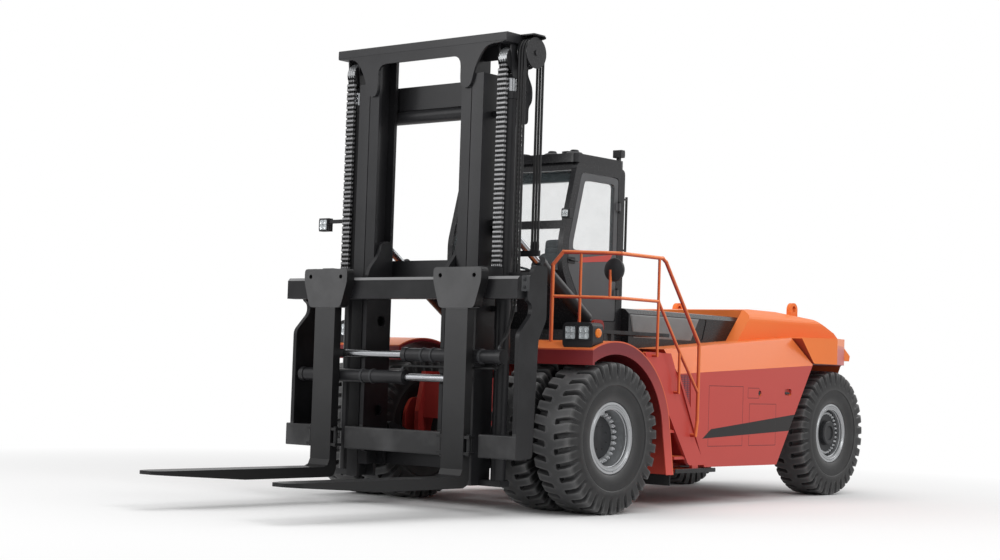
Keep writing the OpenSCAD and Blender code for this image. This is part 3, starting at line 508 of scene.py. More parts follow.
def nut(bm, center, axis, size, height, facing=1):
    # washer, chamfered hexagon and the stud's end, as shares of half the size and of the height
    washer = ((0, 0), (1.4, 0), (1.4, 0.14), (0, 0.14))
    hexagon = ((0, 0.13), (1.15, 0.13), (1.15, 0.66), (0.95, 0.78), (0, 0.78))
    stud = ((0, 0.7), (0.6, 0.7), (0.6, 0.94), (0.5, 1), (0, 1))
    for form, steps in ((washer, 14), (hexagon, 6), (stud, 10)):
        lathe(bm, center, axis, [(size / 2 * wide, height * up) for wide, up in form], steps, facing)


# rock lug tyres
tyreLook = {"lugs": 32, "lean": 0.3, "leanTo": 0.93, "slot": 0.215, "floor": 0.6, "narrow": 0.9}
# shares of half width and of radius, from the crown to the bead
crownRows = ((0, 1), (0.12, 1), (0.24, 1))
wallRows = ((0.99, 0.772), (0.997, 0.735), (1, 0.7), (0.972, 0.688), (0.975, 0.66), (0.97, 0.6),
            (0.95, 0.555), (0.905, 0.508), (0.86, 0.487), (0.8, 0.477), (0.72, 0.468))
# the same shares for a lug's surface, then for the floor of the slot beside it
lugRows = ((0.27, 1, 0.28, 0.935), (0.45, 0.999, 0.45, 0.922), (0.7, 0.996, 0.7, 0.915),
           (0.85, 0.99, 0.84, 0.908), (0.915, 0.978, 0.875, 0.9), (0.948, 0.958, 0.89, 0.888),
           (0.966, 0.925, 0.9, 0.87), (0.977, 0.885, 0.915, 0.85), (0.983, 0.84, 0.94, 0.825),
           (0.987, 0.79, 0.975, 0.795))
tyreRows = [row * 2 for row in crownRows] + list(lugRows) + [row * 2 for row in wallRows]


def lugTyre(bm, center, radius, half):
    pitch = 2 * math.pi / tyreLook["lugs"]
    rows = [(-1, row) for row in tyreRows[:0:-1]] + [(1, row) for row in tyreRows]
    rings = []
    for side, (out, high, slotOut, slotHigh) in rows:
        wide = tyreLook["slot"] * (tyreLook["narrow"] + (1 - tyreLook["narrow"]) * out)
        lean = tyreLook["lean"] * min(out, tyreLook["leanTo"])
        ring = []
        for lug in range(tyreLook["lugs"]):
            for start in (0, 0.5):
                for edge in (-1, -tyreLook["floor"], tyreLook["floor"], 1):
                    deep = abs(edge) < 1 and (start == 0) == (side > 0)
                    turn = pitch * (lug + start + edge * wide - lean)
                    far, r = (slotOut, slotHigh * radius) if deep else (out, high * radius)
                    spot = Vector((side * far * half, r * math.cos(turn), r * math.sin(turn)))
                    ring.append(bm.verts.new(Vector(center) + spot))
        rings.append(ring)
    for a, b in zip(rings, rings[1:] + rings[:1]):
        bridge(bm, a, b)


low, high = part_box("tyre_rear_left")
half = (high.x - low.x) / 2
for node, body in (("tyres_front_left", "wheel_front_left"), ("tyres_front_right", "wheel_front_right"),
                   ("tyre_rear_left", "wheel_rear_left"), ("tyre_rear_right", "wheel_rear_right")):
    low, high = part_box(node)
    radius = (high.z - low.z) / 2
    middle = (low + high) / 2
    bm = bmesh.new()
    for x in sorted({round(low.x + half, 4), round(high.x - half, 4)}):
        lugTyre(bm, (x, middle.y, middle.z), radius, half)
    tyre = newPiece("lugged_" + node, bm, body, looks["tyre_rubber"], 28)
    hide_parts(node)
print("tyres made")

# wheel centres, as (radius, distance) out of the hub's face
lipRing = ((0.3, 0.17), (0.322, 0.186), (0.334, 0.203), (0.344, 0.203), (0.35, 0.195), (0.356, 0.203),
           (0.378, 0.202), (0.381, 0.186), (0.3, 0.17))
frontRing = ((0.303, -0.148), (0.297, -0.03), (0.286, 0), (0.229, 0), (0.229, -0.148), (0.303, -0.148))
frontCover = ((0, 0.05), (0.06, 0.051), (0.07, 0.046), (0.19, 0.048), (0.216, 0.043), (0.226, 0.03),
              (0.2275, 0.01), (0.2275, -0.05), (0, -0.05))
rearPlate = ((0.16, 0.1105), (0.297, 0.1105), (0.302, 0.117), (0.298, 0.125), (0.2, 0.128), (0.16, 0.125),
             (0.16, 0.1105))
rearCup = ((0, 0.1725), (0.088, 0.1725), (0.094, 0.19), (0.14, 0.192), (0.156, 0.18), (0.159, 0.16),
           (0.159, 0.111), (0.151, 0.111), (0.151, 0.171), (0, 0.171))
# a circle of nuts is its count, radius, nut size, nut height and distance
wheelLook = {"lip": 0.196, "frontNuts": (26, 0.26, 0.042, 0.075, 0),
             "coverBolts": (8, 0.13, 0.016, 0.01, 0.046), "rearBolts": (28, 0.258, 0.024, 0.026, 0.125)}


def hubFace(node, side):
    low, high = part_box(node)
    out = max(abs(low.x), abs(high.x)) - wheelLook["lip"]
    return side * out, (low.y + high.y) / 2, (low.z + high.z) / 2


def turned(hub, side, *profiles, steps=64):
    bm = bmesh.new()
    for profile in profiles:
        lathe(bm, hub, "x", profile, steps, side)
    return bm


def nutCircle(bm, hub, side, circle, start=0.0):
    count, radius, size, height, out = circle
    for k in range(count):
        a = 2 * math.pi * (k + start) / count
        spot = (hub[0] + side * out, hub[1] + radius * math.cos(a), hub[2] + radius * math.sin(a))
        nut(bm, spot, "x", size, height, side)


for side, name in ((1, "left"), (-1, "right")):
    hub, body = hubFace("rims_front_" + name, side), "wheel_front_" + name
    newPiece("hubRingFront_" + name, turned(hub, side, frontRing), body, hubGrey)
    newPiece("rimLipFront_" + name, turned(hub, side, lipRing, steps=80), body, nutSteel)
    bm = bmesh.new()
    nutCircle(bm, hub, side, wheelLook["frontNuts"])
    newPiece("wheelNutsFront_" + name, bm, body, boltZinc)
    bm = turned(hub, side, frontCover)
    nutCircle(bm, hub, side, wheelLook["coverBolts"], 0.5)
    newPiece("hubCoverFront_" + name, bm, body, hubGrey)

    hub, body = hubFace("rim_rear_" + name, side), "wheel_rear_" + name
    newPiece("hubPlateRear_" + name, turned(hub, side, rearPlate, rearCup), body, hubGrey)
    bm = bmesh.new()
    nutCircle(bm, hub, side, wheelLook["rearBolts"])
    newPiece("wheelBoltsRear_" + name, bm, body, boltZinc)
    newPiece("rimLipRear_" + name, turned(hub, side, lipRing, steps=80), body, nutSteel)
print("wheel centres made")

# leaf chain turns over the sheaves
chainTurn = {"links": 11, "plates": 7, "inset": 0.008, "thick": 0.011, "long": 0.03, "high": 0.017}
front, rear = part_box("chains_front"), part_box("chains_rear")
chainFrontY, chainRearY = (front[0].y + front[1].y) / 2, (rear[0].y + rear[1].y) / 2
sheaveY, sheaveZ = (chainFrontY + chainRearY) / 2, front[1].z
sheaveR = (chainRearY - chainFrontY) / 2
chainIn = max(-front[0].x, front[1].x) - leafChain["wide"]


def plateX(sheet, look):
    # inner face of one of the plates packed over the chain's width
    room = leafChain["wide"] - 2 * look["inset"] - look["thick"]
    return chainIn + look["inset"] + sheet * room / (look["plates"] - 1)


def turnLink(a):
    # long rounded plate that lies on the turn at angle a
    outline = []
    for k in range(12):
        t = 2 * math.pi * k / 12
        long = chainTurn["long"] * math.copysign(abs(math.cos(t)) ** 0.6, math.cos(t))
        out = sheaveR + chainTurn["high"] * math.copysign(abs(math.sin(t)) ** 0.8, math.sin(t))
        outline.append((sheaveY + out * math.cos(a) - long * math.sin(a),
                        sheaveZ + out * math.sin(a) + long * math.cos(a)))
    return outline


bm = bmesh.new()
for side in (1, -1):
    for sheet in range(chainTurn["plates"]):
        x = side * plateX(sheet, chainTurn)
        for link in range(chainTurn["links"]):
            a = math.pi * (link + (0.5 if sheet % 2 else 0.0)) / (chainTurn["links"] - 0.5)
            plate(bm, "x", turnLink(a), x, x + side * chainTurn["thick"])
newPiece("chainTurns", bm, "mast_inner", nutSteel)


# leaf chain runs, each riding on the body of the node that it replaces
def chainLink(y, z):
    half, pitch = leafChain["half"], leafChain["pitch"]
    outline = []
    for end, way in ((z + pitch, 1), (z, -1)):
        arc = (math.pi * k / 6 for k in range(7))
        outline += [(y + way * half * math.cos(a), end + way * half * math.sin(a)) for a in arc]
        outline.append((y - way * leafChain["waist"], z + pitch / 2))
    return outline


pinSpan = (chainIn + leafChain["pinShort"], chainIn + leafChain["wide"] - leafChain["pinShort"])
for node, carrier in (("chains_front", "carriage"), ("chains_rear", "mast_outer")):
    low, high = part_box(node)
    y = (low.y + high.y) / 2
    count = int((high.z - low.z - 2 * leafChain["half"]) / leafChain["pitch"])
    bm = bmesh.new()
    for side in (1, -1):
        for link in range(count):
            z = low.z + leafChain["half"] + link * leafChain["pitch"]
            for sheet in range(link % 2, leafChain["plates"], 2):
                x = side * plateX(sheet, leafChain)
                plate(bm, "x", chainLink(y, z), x, x + side * leafChain["thick"])
            tube(bm, [(side * x, y, z) for x in pinSpan], leafChain["pin"], 8)
    run = newPiece("leaf_" + node, bm, carrier, looks["chain_steel"])
    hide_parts(node)

# hose turns over the pulley, and runs with crimped ends
front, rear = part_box("hoses_front"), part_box("hoses_rear")
hoseR = (front[1].y - front[0].y) / 2
hoseFront, hoseRear, hoseZ = front[0].y + hoseR, rear[0].y + hoseR, front[1].z
hoseTurnR = (hoseRear - hoseFront) / 2
# (added radius, height) up the crimp
crimp = ((0.003, 0.001), (0.004, 0.05), (0.002, 0.07), (0.003, 0.09), (0, 0.095))
hoseEnd = [(0, crimp[0][1])] + [(hoseR + more, up) for more, up in crimp] + [(0, crimp[-1][1])]


def hosePlaces(low, high):
    return low.x + hoseR, (low.x + high.x) / 2, high.x - hoseR


bm = bmesh.new()
for x in hosePlaces(*front):
    y = (hoseFront + hoseRear) / 2
    arc = (math.pi * k / 24 for k in range(25))
    tube(bm, [(x, y - hoseTurnR * math.cos(a), hoseZ + hoseTurnR * math.sin(a)) for a in arc], hoseR, 14)
newPiece("hoseTurns", bm, "mast_inner", looks["hose_rubber"])
for node, carrier in (("hoses_front", "carriage"), ("hoses_rear", "mast_outer")):
    low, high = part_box(node)
    y = low.y + hoseR
    bm = bmesh.new()
    for x in hosePlaces(low, high):
        tube(bm, [(x, y, low.z + (high.z - low.z) * k / 40) for k in range(41)], hoseR, 14)
        lathe(bm, (x, y, low.z), "z", hoseEnd, 14)
    run = newPiece("hose_" + node, bm, carrier, looks["hose_rubber"])
    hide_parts(node)
print("chains and hoses made")

# lamps: bezel, reflector bowls and a lens
lampLook = {"corner": 0.018, "bezel": 0.011, "innerCorner": 0.012, "proud": 0.012, "lip": 0.014,
            "bowlPlace": 0.45, "bowlSize": 0.4, "lens": (0.010, 0.0125)}
bezels, bowls, lenses = {}, {}, {}


def lampSet(store, body):
    if body not in store:
        store[body] = bmesh.new()
    return store[body]


def squareLamp(body, center, wide, high, facing):
    # lamp face across Y with a bezel frame, two by two bowls and a clear lens
    x, y, z = center
    inWide, inHigh = wide - lampLook["bezel"], high - lampLook["bezel"]
    outer = rounded(x - wide, z - high, x + wide, z + high, lampLook["corner"])
    inner = rounded(x - inWide, z - inHigh, x + inWide, z + inHigh, lampLook["innerCorner"])
    bm = lampSet(bezels, body)
    rows = []
    for outline, far in ((outer, 0.0), (outer, lampLook["proud"]), (inner, lampLook["lip"]), (inner, 0.0)):
        rows.append([bm.verts.new((p, y + facing * far, q)) for p, q in outline])
    for a, b in zip(rows, rows[1:] + rows[:1]):
        bridge(bm, a, b)
    r = min(wide, high) * lampLook["bowlSize"]
    bowl = ((0, 0.003), (r * 0.35, 0.0035), (r * 0.7, 0.006), (r, 0.0095), (r, 0.001), (0, 0.001))
    for sx in (-lampLook["bowlPlace"], lampLook["bowlPlace"]):
        for sz in (-lampLook["bowlPlace"], lampLook["bowlPlace"]):
            lathe(lampSet(bowls, body), (x + sx * wide, y, z + sz * high), "y", bowl, 20, facing)
    near, far = (y + facing * depth for depth in lampLook["lens"])
    plate(lampSet(lenses, body), "y", inner, near, far)


headLook = {"insets": (0.29, 0.11), "down": 0.11, "half": 0.077, "markerBack": 0.09}
markerDome = ((0, 0.022), (0.03, 0.021), (0.045, 0.014), (0.05, 0.004), (0.05, 0), (0, 0))
low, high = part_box("headlamps")
z = high.z - headLook["down"]
amber = bmesh.new()
for side in (1, -1):
    for inset in headLook["insets"]:
        squareLamp("base", (side * (high.x - inset), low.y, z), headLook["half"], headLook["half"], -1)
    lathe(amber, (side * (high.x - 0.001), low.y + headLook["markerBack"], z), "x", markerDome, 32, side)
newPiece("markerLenses", amber, "base", lensAmber)
# one work lamp looks ahead and two look back
low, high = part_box("work_lamps")
squareLamp("base", (high.x - 0.055, low.y, low.z + 0.055), 0.05, 0.05, -1)
for x in (low.x + 0.06, -low.x - 0.06):
    squareLamp("base", (x, high.y, high.z - 0.0435), 0.055, 0.04, 1)
low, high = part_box("mast_lamp")
squareLamp("mast_outer", (low.x + 0.075, axleY - 0.812, (low.z + high.z) / 2), 0.068, 0.068, -1)
for body in ("base", "mast_outer"):
    newPiece("lampBezels_" + body, bezels[body], body, looks["lamp_plastic"])
    newPiece("lampBowls_" + body, bowls[body], body, reflector)
    newPiece("lampLenses_" + body, lenses[body], body, lensClear)
print("lamps made")

# round mirror: domed back and a bright face, as (share of the radius, distance)
mirrorBack = ((0, 0.022), (0.5, 0.019), (0.85, 0.009), (0.99, 0.0), (1.01, -0.012), (0.99, -0.02), (0, -0.02))
mirrorBright = ((0, 0.009), (0.5, 0.0075), (0.92, 0.002), (0.92, 0), (0, 0))
low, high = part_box("mirror")
middle = (low + high) / 2
radius = (high.x - low.x) / 2
bm = bmesh.new()
lathe(bm, (middle.x, low.y, middle.z), "y", [(radius * share, far) for share, far in mirrorBack], 48, -1)
newPiece("mirrorShell", bm, "base", looks["lamp_plastic"])
bm = bmesh.new()
lathe(bm, (middle.x, high.y, middle.z), "y", [(radius * share, far) for share, far in mirrorBright], 48, 1)
newPiece("mirrorFace", bm, "base", mirrorFace)

# two domed covers at the front of the roof
roofDome = {"places": (0.34, 0.66), "back": 0.2, "belowTop": 0.0895,
            "form": ((0, 0.064), (0.035, 0.063), (0.048, 0.056), (0.052, 0.04), (0.085, 0.03), (0.105, 0.01),
                     (0.108, 0), (0, 0))}
low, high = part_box("cab_roof")
bm = bmesh.new()
for x in roofDome["places"]:
    lathe(bm, (x, low.y + roofDome["back"], high.z - roofDome["belowTop"]), "z", roofDome["form"], 40)
newPiece("roofDomes", bm, "base", looks["lamp_plastic"])

# driver's seat, with half sizes of its pads
seatLook = {"cushion": (0.255, 0.215, 0.08), "back": (0.245, 0.06, 0.33), "head": (0.15, 0.05, 0.1),
            "lean": 5.3, "middle": 0.21, "bolster": 0.022, "channel": 0.012, "folds": 6, "fold": 0.026}


def pad(name, center, size, lean, channels, crown, facing):
    # stuffed form: soft cube with a crown, side bolsters and sewn channels on the face the driver meets
    bm = bmesh.new()
    bmesh.ops.create_cube(bm, size=2)
    bmesh.ops.subdivide_edges(bm, edges=bm.edges, cuts=23, use_grid_fill=True)
    turn = Matrix.Rotation(math.radians(lean), 3, "X")
    outward = along["z"] if facing == "z" else -along["y"]
    for vert in bm.verts:
        p = vert.co.copy()
        norm = sum(abs(c) ** 5 for c in p) ** 0.2
        p = p * (max(abs(c) for c in p) / norm)
        q = Vector((p.x * size[0], p.y * size[1], p.z * size[2]))
        lengthways = p.y if facing == "z" else p.z
        met = max(0.0, p.z if facing == "z" else -p.y)
        inside = max(0.0, 1 - p.x ** 4) * max(0.0, 1 - lengthways ** 4)
        bolster = seatLook["bolster"] * math.exp(-((abs(p.x) - 0.8) / 0.13) ** 2)
        rise = crown * inside + bolster * inside ** 0.3
        for way, at in channels:
            d = (p.x if way == "x" else lengthways) - at
            rise -= seatLook["channel"] * math.exp(-(d / 0.045) ** 2) * inside ** 0.2
        q += outward * rise * met ** 2
        vert.co = turn @ q + Vector(center)
    piece = newPiece(name, bm, "base", looks["seat_cloth"], 60)
    piece.modifiers.new("soft", "SUBSURF").render_levels = 1
    return piece


low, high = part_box("seat")
seatY, seatZ = low.y, low.z
seatMid = seatY + seatLook["middle"]
cushionSewn = [("x", -0.58), ("x", 0.58), ("y", -0.35), ("y", 0.3)]
backSewn = [("x", -0.55), ("x", 0.55), ("y", -0.45), ("y", 0.0), ("y", 0.45)]
cushion = pad("seatCushion", (0, seatMid, seatZ + 0.235), seatLook["cushion"], -3, cushionSewn, 0.012, "z")
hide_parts("seat")
pad("seatBack", (0, seatY + 0.385, seatZ + 0.6), seatLook["back"], -seatLook["lean"], backSewn, 0.012, "y")
headSewn = [("y", 0.0)]
pad("seatHead", (0, seatY + 0.43, seatZ + 0.985), seatLook["head"], -seatLook["lean"], headSewn, 0.01, "y")
# bellows, head pad posts and arm rests
bm = bmesh.new()
for k in range(seatLook["folds"]):
    wide = 0.2 if k % 2 else 0.185
    deep = wide * 0.75
    z = seatZ + 0.0005 + k * seatLook["fold"]
    plate(bm, "z", rounded(-wide, seatMid - deep, wide, seatMid + deep, 0.04), z, z + seatLook["fold"])
for x in (-0.07, 0.07):
    tube(bm, [(x, seatY + 0.41, seatZ + 0.86), (x, seatY + 0.43, seatZ + 0.98)], 0.008)
armRest = ((0.39, 0.42), (0.3, 0.47), (0.05, 0.475))
for x in (-0.27, 0.27):
    tube(bm, [(x, seatY + y, seatZ + z) for y, z in armRest], 0.024, 12)
newPiece("seatStand", bm, "base", looks["cab_plastic"], 35, 0.004)
print("seat made")

# flanks: vent bars, lock and recessed pull, with y from the front axle
flank = {"face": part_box("side_bodies")[1].x, "ventTop": 1.505, "ventLow": 1.12, "ventY": 1.985,
         "pitch": 0.021, "bar": 0.009, "margin": 0.012, "lock": (3.48, 1.31),
         "pull": (4.085, 1.305, 4.195, 1.33)}
lockForm = ((0, 0.014), (0.02, 0.014), (0.026, 0.01), (0.031, 0.004), (0.033, 0), (0, 0))
lockY, lockZ = flank["lock"]
y0, z0, y1, z1 = flank["pull"]
pullLine = rounded(axleY + y0, z0, axleY + y1, z1, 0.01)
bm, metal = bmesh.new(), bmesh.new()
for side in (1, -1):
    x = side * (flank["face"] - 0.012)
    z = flank["ventLow"] + 0.05
    while z < flank["ventTop"] - 0.01:
        share = (z - flank["ventLow"]) / (flank["ventTop"] - flank["ventLow"])
        y0 = flank["ventY"] - 0.24 * share + flank["margin"]
        y1 = flank["ventY"] - 0.02 * share - flank["margin"]
        plate(bm, "x", rounded(axleY + y0, z, axleY + y1, z + flank["bar"], 0.003, 2), x, x + side * 0.007)
        z += flank["pitch"]
    for k in range(3):
        y = axleY + 1.8 + 0.06 * k
        foot = flank["ventLow"] + 0.27 - 0.09 * k
        upright = rounded(y, foot, y + 0.006, flank["ventTop"] - flank["margin"], 0.002, 2)
        plate(bm, "x", upright, x, x + side * 0.004)
    lathe(metal, (side * (flank["face"] - 0.02), axleY + lockY, lockZ), "x", lockForm, 28, side)
    plate(metal, "x", pullLine, side * (flank["face"] - 0.03), side * (flank["face"] - 0.008))
newPiece("ventBars", bm, "base", ventGrey)
newPiece("flankLatches", metal, "base", looks["black_paint"], 35, 0.002)

# louvre panels on both sides of the hood
louvre = {"low": 1.915, "high": 2.18, "pitch": 0.0125, "proud": 0.0075, "tall": 0.0095, "margin": 0.012}
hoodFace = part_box("hood")[1].x


def louvreEnds(z):
    # the panel gets longer towards its top
    share = (z - louvre["low"]) / (louvre["high"] - louvre["low"])
    return axleY + 1.58 - 0.08 * share, axleY + 2.76 + 0.17 * share


bm = bmesh.new()
for side in (1, -1):
    y0, y1 = louvreEnds(louvre["low"])
    y2, y3 = louvreEnds(louvre["high"])
    frameLine = [(y0, louvre["low"]), (y1, louvre["low"]), (y3, louvre["high"]), (y2, louvre["high"])]
    plate(bm, "x", frameLine, side * (hoodFace + 0.0022), side * (hoodFace + 0.004))
    x = side * (hoodFace + 0.004)
    z = louvre["low"] + louvre["margin"]
    while z < louvre["high"] - louvre["margin"]:
        y0, y1 = louvreEnds(z)
        slat = [(x, z), (x + side * louvre["proud"], z + 0.001), (x + side * 0.002, z + louvre["tall"]),
                (x, z + louvre["tall"])]
        slatEnds = (y0 + louvre["margin"], y1 - louvre["margin"])
        closeEnds(bm, [[bm.verts.new((px, y, pz)) for px, pz in slat] for y in slatEnds])
        z += louvre["pitch"]
panels = newPiece("hoodLouvres", bm, "base", louvreGrey)
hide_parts("grilles")

# cap over the hose pulley, its hanging guide plate and the webs to the chain sheaves
capLook = {"in": 0.06, "out": 0.03, "deep": 0.1, "lip": 0.016, "railEdge": 0.737, "bracket": 0.027}
# (y, z) from the pulley's middle
guideEdge = ((-0.06, -0.07), (0.07, -0.07), (0.04, -0.2), (0.115, -0.34), (0.12, -0.48), (0.07, -0.57),
             (0.06, -0.72), (-0.03, -0.72), (-0.06, -0.5))
outerTop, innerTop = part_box("mast_outer")[1].z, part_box("mast_inner")[1].z
low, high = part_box("hose_sheave")
pulleyY, pulleyZ = (low.y + high.y) / 2, (low.z + high.z) / 2
x0, x1 = low.x - capLook["in"], high.x + capLook["out"]
y0, y1 = pulleyY - capLook["deep"], pulleyY + capLook["deep"]
bm = bmesh.new()
plate(bm, "z", rounded(x0, y0, x1, y1, 0.02), high.z + 0.012, high.z + 0.026)
lipLine = [(x0, high.z + 0.013), (x1, high.z + 0.013), (x1, high.z - 0.008), (x0, high.z - 0.05)]
plate(bm, "y", lipLine, y1 - capLook["lip"], y1)
guide = smoothRoute([(0, y, z) for y, z in guideEdge], 5)
plate(bm, "x", [(pulleyY + p.y, pulleyZ + p.z) for p in guide], low.x - 0.03, low.x - 0.004)
for z in (-0.2, -0.4):
    nut(bm, (low.x - 0.004, pulleyY + 0.01, pulleyZ + z), "x", 0.026, 0.02)
for side in (1, -1):
    x0, x1 = sorted((side * capLook["railEdge"], side * (chainIn - capLook["bracket"])))
    web = rounded(x0, outerTop + 0.15, x1, innerTop - 0.096, 0.02)
    plate(bm, "y", web, sheaveY - 0.03, sheaveY - 0.008)
newPiece("pulleyCap", bm, "mast_inner", looks["mast_paint"], 35, 0.002)

# black edge round the bottom step of both ladders
stepEdge = {"in": 1.195, "out": 1.475, "side": (1.4805, 1.492), "sole": 0.006, "past": 0.004}
low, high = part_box("ladders")
sole, back = low.z - stepEdge["sole"], high.y + stepEdge["past"]
bm = bmesh.new()
for side in (1, -1):
    x0, x1 = sorted((side * stepEdge["in"], side * stepEdge["out"]))
    plate(bm, "z", rounded(x0, high.y - 0.825, x1, back, 0.02), sole, low.z - 0.0005)
    plate(bm, "y", rounded(x0, sole, x1, low.z + 0.036, 0.008), high.y - 0.838, high.y - 0.831)
    x0, x1 = sorted(side * x for x in stepEdge["side"])
    plate(bm, "x", rounded(high.y - 0.83, sole, back, low.z + 0.042, 0.01), x0, x1)
newPiece("bottomStepEdge", bm, "base", looks["black_paint"], 35, 0.002)

# tread plate on the landing
tread = {"step": 0.052, "long": 0.019, "wide": 0.006, "high": 0.004, "top": 0.6, "margin": 0.04}


def lozenge(bm, x, y, z, turn):
    c, s = math.cos(turn), math.sin(turn)
    corners = [(tread["long"], 0), (0, tread["wide"]), (-tread["long"], 0), (0, -tread["wide"])]
    spread = [(p * c - q * s, p * s + q * c) for p, q in corners]
    base = [bm.verts.new((x + p, y + q, z)) for p, q in spread]
    top = [bm.verts.new((x + p * tread["top"], y + q * tread["top"], z + tread["high"])) for p, q in spread]
    bm.faces.new(top)
    bridge(bm, base, top)
    bm.faces.new(base[::-1])


low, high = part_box("deck")
x0, y0 = low.x + tread["margin"], low.y + tread["margin"]
rows = int((high.y - low.y - 0.04) / tread["step"])
cols = int((high.x - low.x - 0.03) / tread["step"])
bm = bmesh.new()
for r in range(rows):
    for c in range(cols):
        turn = math.radians(45 if (r + c) % 2 else -45)
        lozenge(bm, x0 + c * tread["step"], y0 + r * tread["step"], high.z - 0.0005, turn)
newPiece("landingTread", bm, "base", looks["black_paint"])
print("flanks and tread made")

# door: latch handle and the painted strip, with y from the front axle
doorLook = {"latch": (0.425, 2.7, 0.56, 2.775), "gripR": 0.009,
            "grip": ((0.004, 0.45, 2.74), (0.026, 0.45, 2.74), (0.03, 0.47, 2.738), (0.03, 0.57, 2.732)),
            "strip": ((0.63, 2.72), (1.20, 2.77), (1.26, 2.85), (0.69, 2.78))}
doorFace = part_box("cab_frame")[1].x - 0.036
y0, z0, y1, z1 = doorLook["latch"]
bm = bmesh.new()
plate(bm, "x", rounded(axleY + y0, z0, axleY + y1, z1, 0.02), doorFace - 0.002, doorFace + 0.008)
tube(bm, [(doorFace + x, axleY + y, z) for x, y, z in doorLook["grip"]], doorLook["gripR"], 12)
newPiece("doorLatch", bm, "door", looks["black_paint"], 35, 0.002)
bm = bmesh.new()
plate(bm, "x", [(axleY + y, z) for y, z in doorLook["strip"]], doorFace - 0.002, doorFace + 0.003)
newPiece("doorStrip", bm, "door", looks["body_paint"])

# carriage: lines to the spreader cylinders, clamp rings on their barrels and the end clamp
lineLook = {"radius": 0.012, "fitting": 0.034, "fittingLong": 0.05}
# x from the hose, y from the front axle
routes = (((0.0, -1.03, 2.442), (0.0, -1.03, 2.25), (0.03, -1.06, 2.1), (0.1, -1.2, 1.86),
           (0.13, -1.33, 1.76), (0.13, -1.355, 1.688)),
          ((0.05, -1.03, 2.442), (0.05, -1.03, 2.2), (0.06, -1.1, 2.0), (0.06, -1.24, 1.75),
           (0.06, -1.24, 1.58), (0.05, -1.28, 1.51), (0.0, -1.355, 1.5), (-0.6, -1.355, 1.5),
           (-1.1, -1.355, 1.5), (-1.17, -1.355, 1.49), (-1.19, -1.355, 1.447)))
spreader = {"y": -1.355, "barrels": ((1, 1.62), (-1, 1.38)), "rings": (0.36, 0.5, 1.02, 1.16),
            "ring": ((0.0702, -0.016), (0.079, -0.013), (0.081, 0), (0.079, 0.013), (0.0702, 0.016),
                     (0.0702, -0.016))}
endClamp = {"low": 2.285, "high": 2.445, "wide": 0.07, "front": 0.012, "back": 0.055, "nuts": (2.325, 2.405)}
barFront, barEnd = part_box("carriage")[0].y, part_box("carriage")[1].x
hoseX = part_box("hoses_front")[0].x + hoseR
bm, fittings = bmesh.new(), bmesh.new()
for route in routes:
    places = [(hoseX + x, axleY + y, z) for x, y, z in route]
    tube(bm, smoothRoute(places), lineLook["radius"], 12)
    nut(fittings, places[0], "z", lineLook["fitting"], lineLook["fittingLong"], -1)
    nut(fittings, places[-1], "z", lineLook["fitting"], lineLook["fittingLong"], 1)
newPiece("spreaderLines", bm, "carriage", looks["hose_rubber"])
for way, z in spreader["barrels"]:
    for x in spreader["rings"]:
        lathe(fittings, (way * x, axleY + spreader["y"], z), "x", spreader["ring"], 40)
clampLine = rounded(barEnd + 0.001, endClamp["low"], barEnd + endClamp["wide"], endClamp["high"], 0.012)
plate(fittings, "y", clampLine, barFront + endClamp["front"], barFront + endClamp["back"])
for z in endClamp["nuts"]:
    nut(fittings, (barEnd + 0.036, barFront + endClamp["front"], z), "y", 0.03, 0.026, -1)
newPiece("carriageFittings", fittings, "carriage", hubGrey)
print("carriage lines made")

# the photograph's view: focal length and width in pixels, angles in degrees, y from the front axle
photoView = {"focal": 1829.0, "wide": 1000, "turn": 39.75, "tip": 2.87, "roll": 1.84, "sensor": 36,
             "place": (13.26, -15.66, 1.47)}
turn, tip, roll = (math.radians(photoView[angle]) for angle in ("turn", "tip", "roll"))
ahead = Vector((-math.sin(turn) * math.cos(tip), math.cos(turn) * math.cos(tip), math.sin(tip)))
level = Vector((math.cos(turn), math.sin(turn), 0))
upright = level.cross(ahead)
right = level * math.cos(roll) + upright * math.sin(roll)
up = upright * math.cos(roll) - level * math.sin(roll)
camera = bpy.data.objects.new("camera", bpy.data.cameras.new("camera"))
bpy.context.scene.collection.objects.link(camera)
camera.matrix_world = Matrix((right, up, -ahead)).transposed().to_4x4()
x, y, z = photoView["place"]
camera.location = (x, y + axleY, z)
camera.data.sensor_width = photoView["sensor"]
camera.data.lens = photoView["focal"] * photoView["sensor"] / photoView["wide"]
camera.data.clip_end = 200
bpy.context.scene.camera = camera

# white floor that fades into the white surround, and soft studio light
studio = {"world": 0.42, "fadeFrom": 4.5, "fadeOver": 7.0}


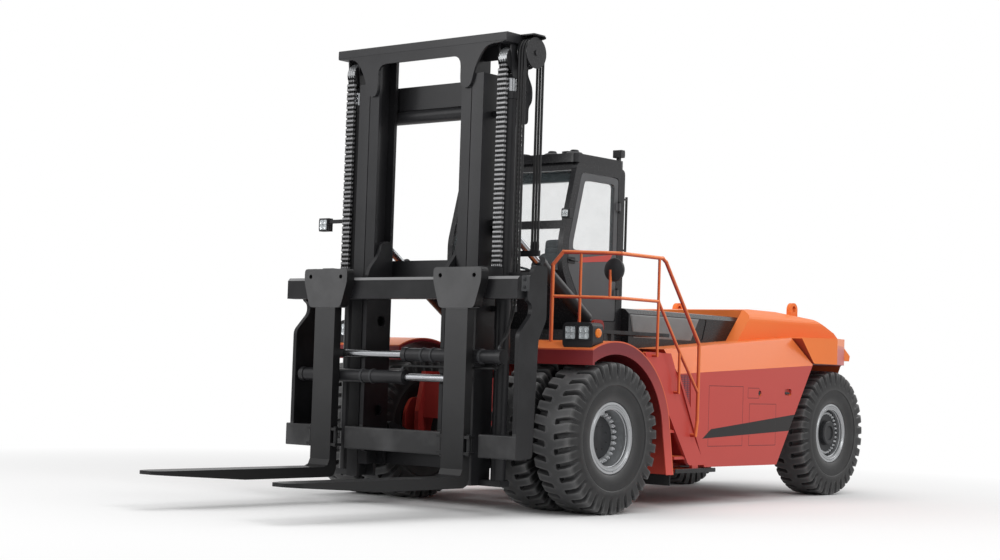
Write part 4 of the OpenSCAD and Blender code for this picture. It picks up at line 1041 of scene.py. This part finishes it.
def mixShaders(factor, first, second, end):
    # first shader where the factor is 0, second where it is 1
    links = factor.tree.links
    mixed = factor.add("ShaderNodeMixShader", {}, i0=factor)
    links.new(first.outputs[0], mixed.inputs[1])
    links.new(second.outputs[0], mixed.inputs[2])
    links.new(mixed.outputs[0], factor.tree.nodes[end].inputs["Surface"])


bpy.ops.mesh.primitive_plane_add(size=160)
floor = bpy.context.object
floor.name = "floor"
floorMat, shader, place = newMaterial("floorWhite")
feed(shader, Base_Color=(0.96, 0.96, 0.96), Roughness=0.9, Specular_IOR_Level=0.0)
reach = place.field("ShaderNodeVectorMath", {"operation": "LENGTH"}, out=1, i0=place)
far = ((reach - studio["fadeFrom"]) / studio["fadeOver"]).clamp()
looking = place.field("ShaderNodeLightPath", out="Is Camera Ray")
mixShaders(far * looking, shader, place.add("ShaderNodeEmission"), "Material Output")
floor.data.materials.append(floorMat)

world = bpy.data.worlds.new("studio")
world.use_nodes = True
tree = world.node_tree
soft = tree.nodes["Background"]
soft.inputs["Color"].default_value = (1, 1, 1, 1)
soft.inputs["Strength"].default_value = studio["world"]
path = tree.nodes.new("ShaderNodeLightPath")
sight = Field(tree, path.outputs["Is Camera Ray"]) + Field(tree, path.outputs["Is Glossy Ray"])
sight = (sight + Field(tree, path.outputs["Is Transmission Ray"])).clamp()
white = sight.add("ShaderNodeBackground", {}, Color=(1, 1, 1, 1))
mixShaders(sight, soft, white, "World Output")
bpy.context.scene.world = world
for name, spot, aim, size, power in (
        ("key", (12, -5, 11), (0, 0, 1.5), 7, 620),
        ("fill", (-6, -15, 8), (0, 0, 1.5), 8, 850),
        ("top", (0, 0, 14), (0, 0, 0), 11, 650),
        ("back", (5, 13, 10), (0, 1, 1.5), 8, 430)):
    lamp = bpy.data.objects.new(name, bpy.data.lights.new(name, "AREA"))
    bpy.context.scene.collection.objects.link(lamp)
    lamp.location = spot
    lamp.rotation_euler = (Vector(aim) - Vector(spot)).to_track_quat("-Z", "Y").to_euler()
    lamp.data.size, lamp.data.energy = size, power
bpy.context.scene.view_settings.view_transform = "Standard"
print("camera and light set")
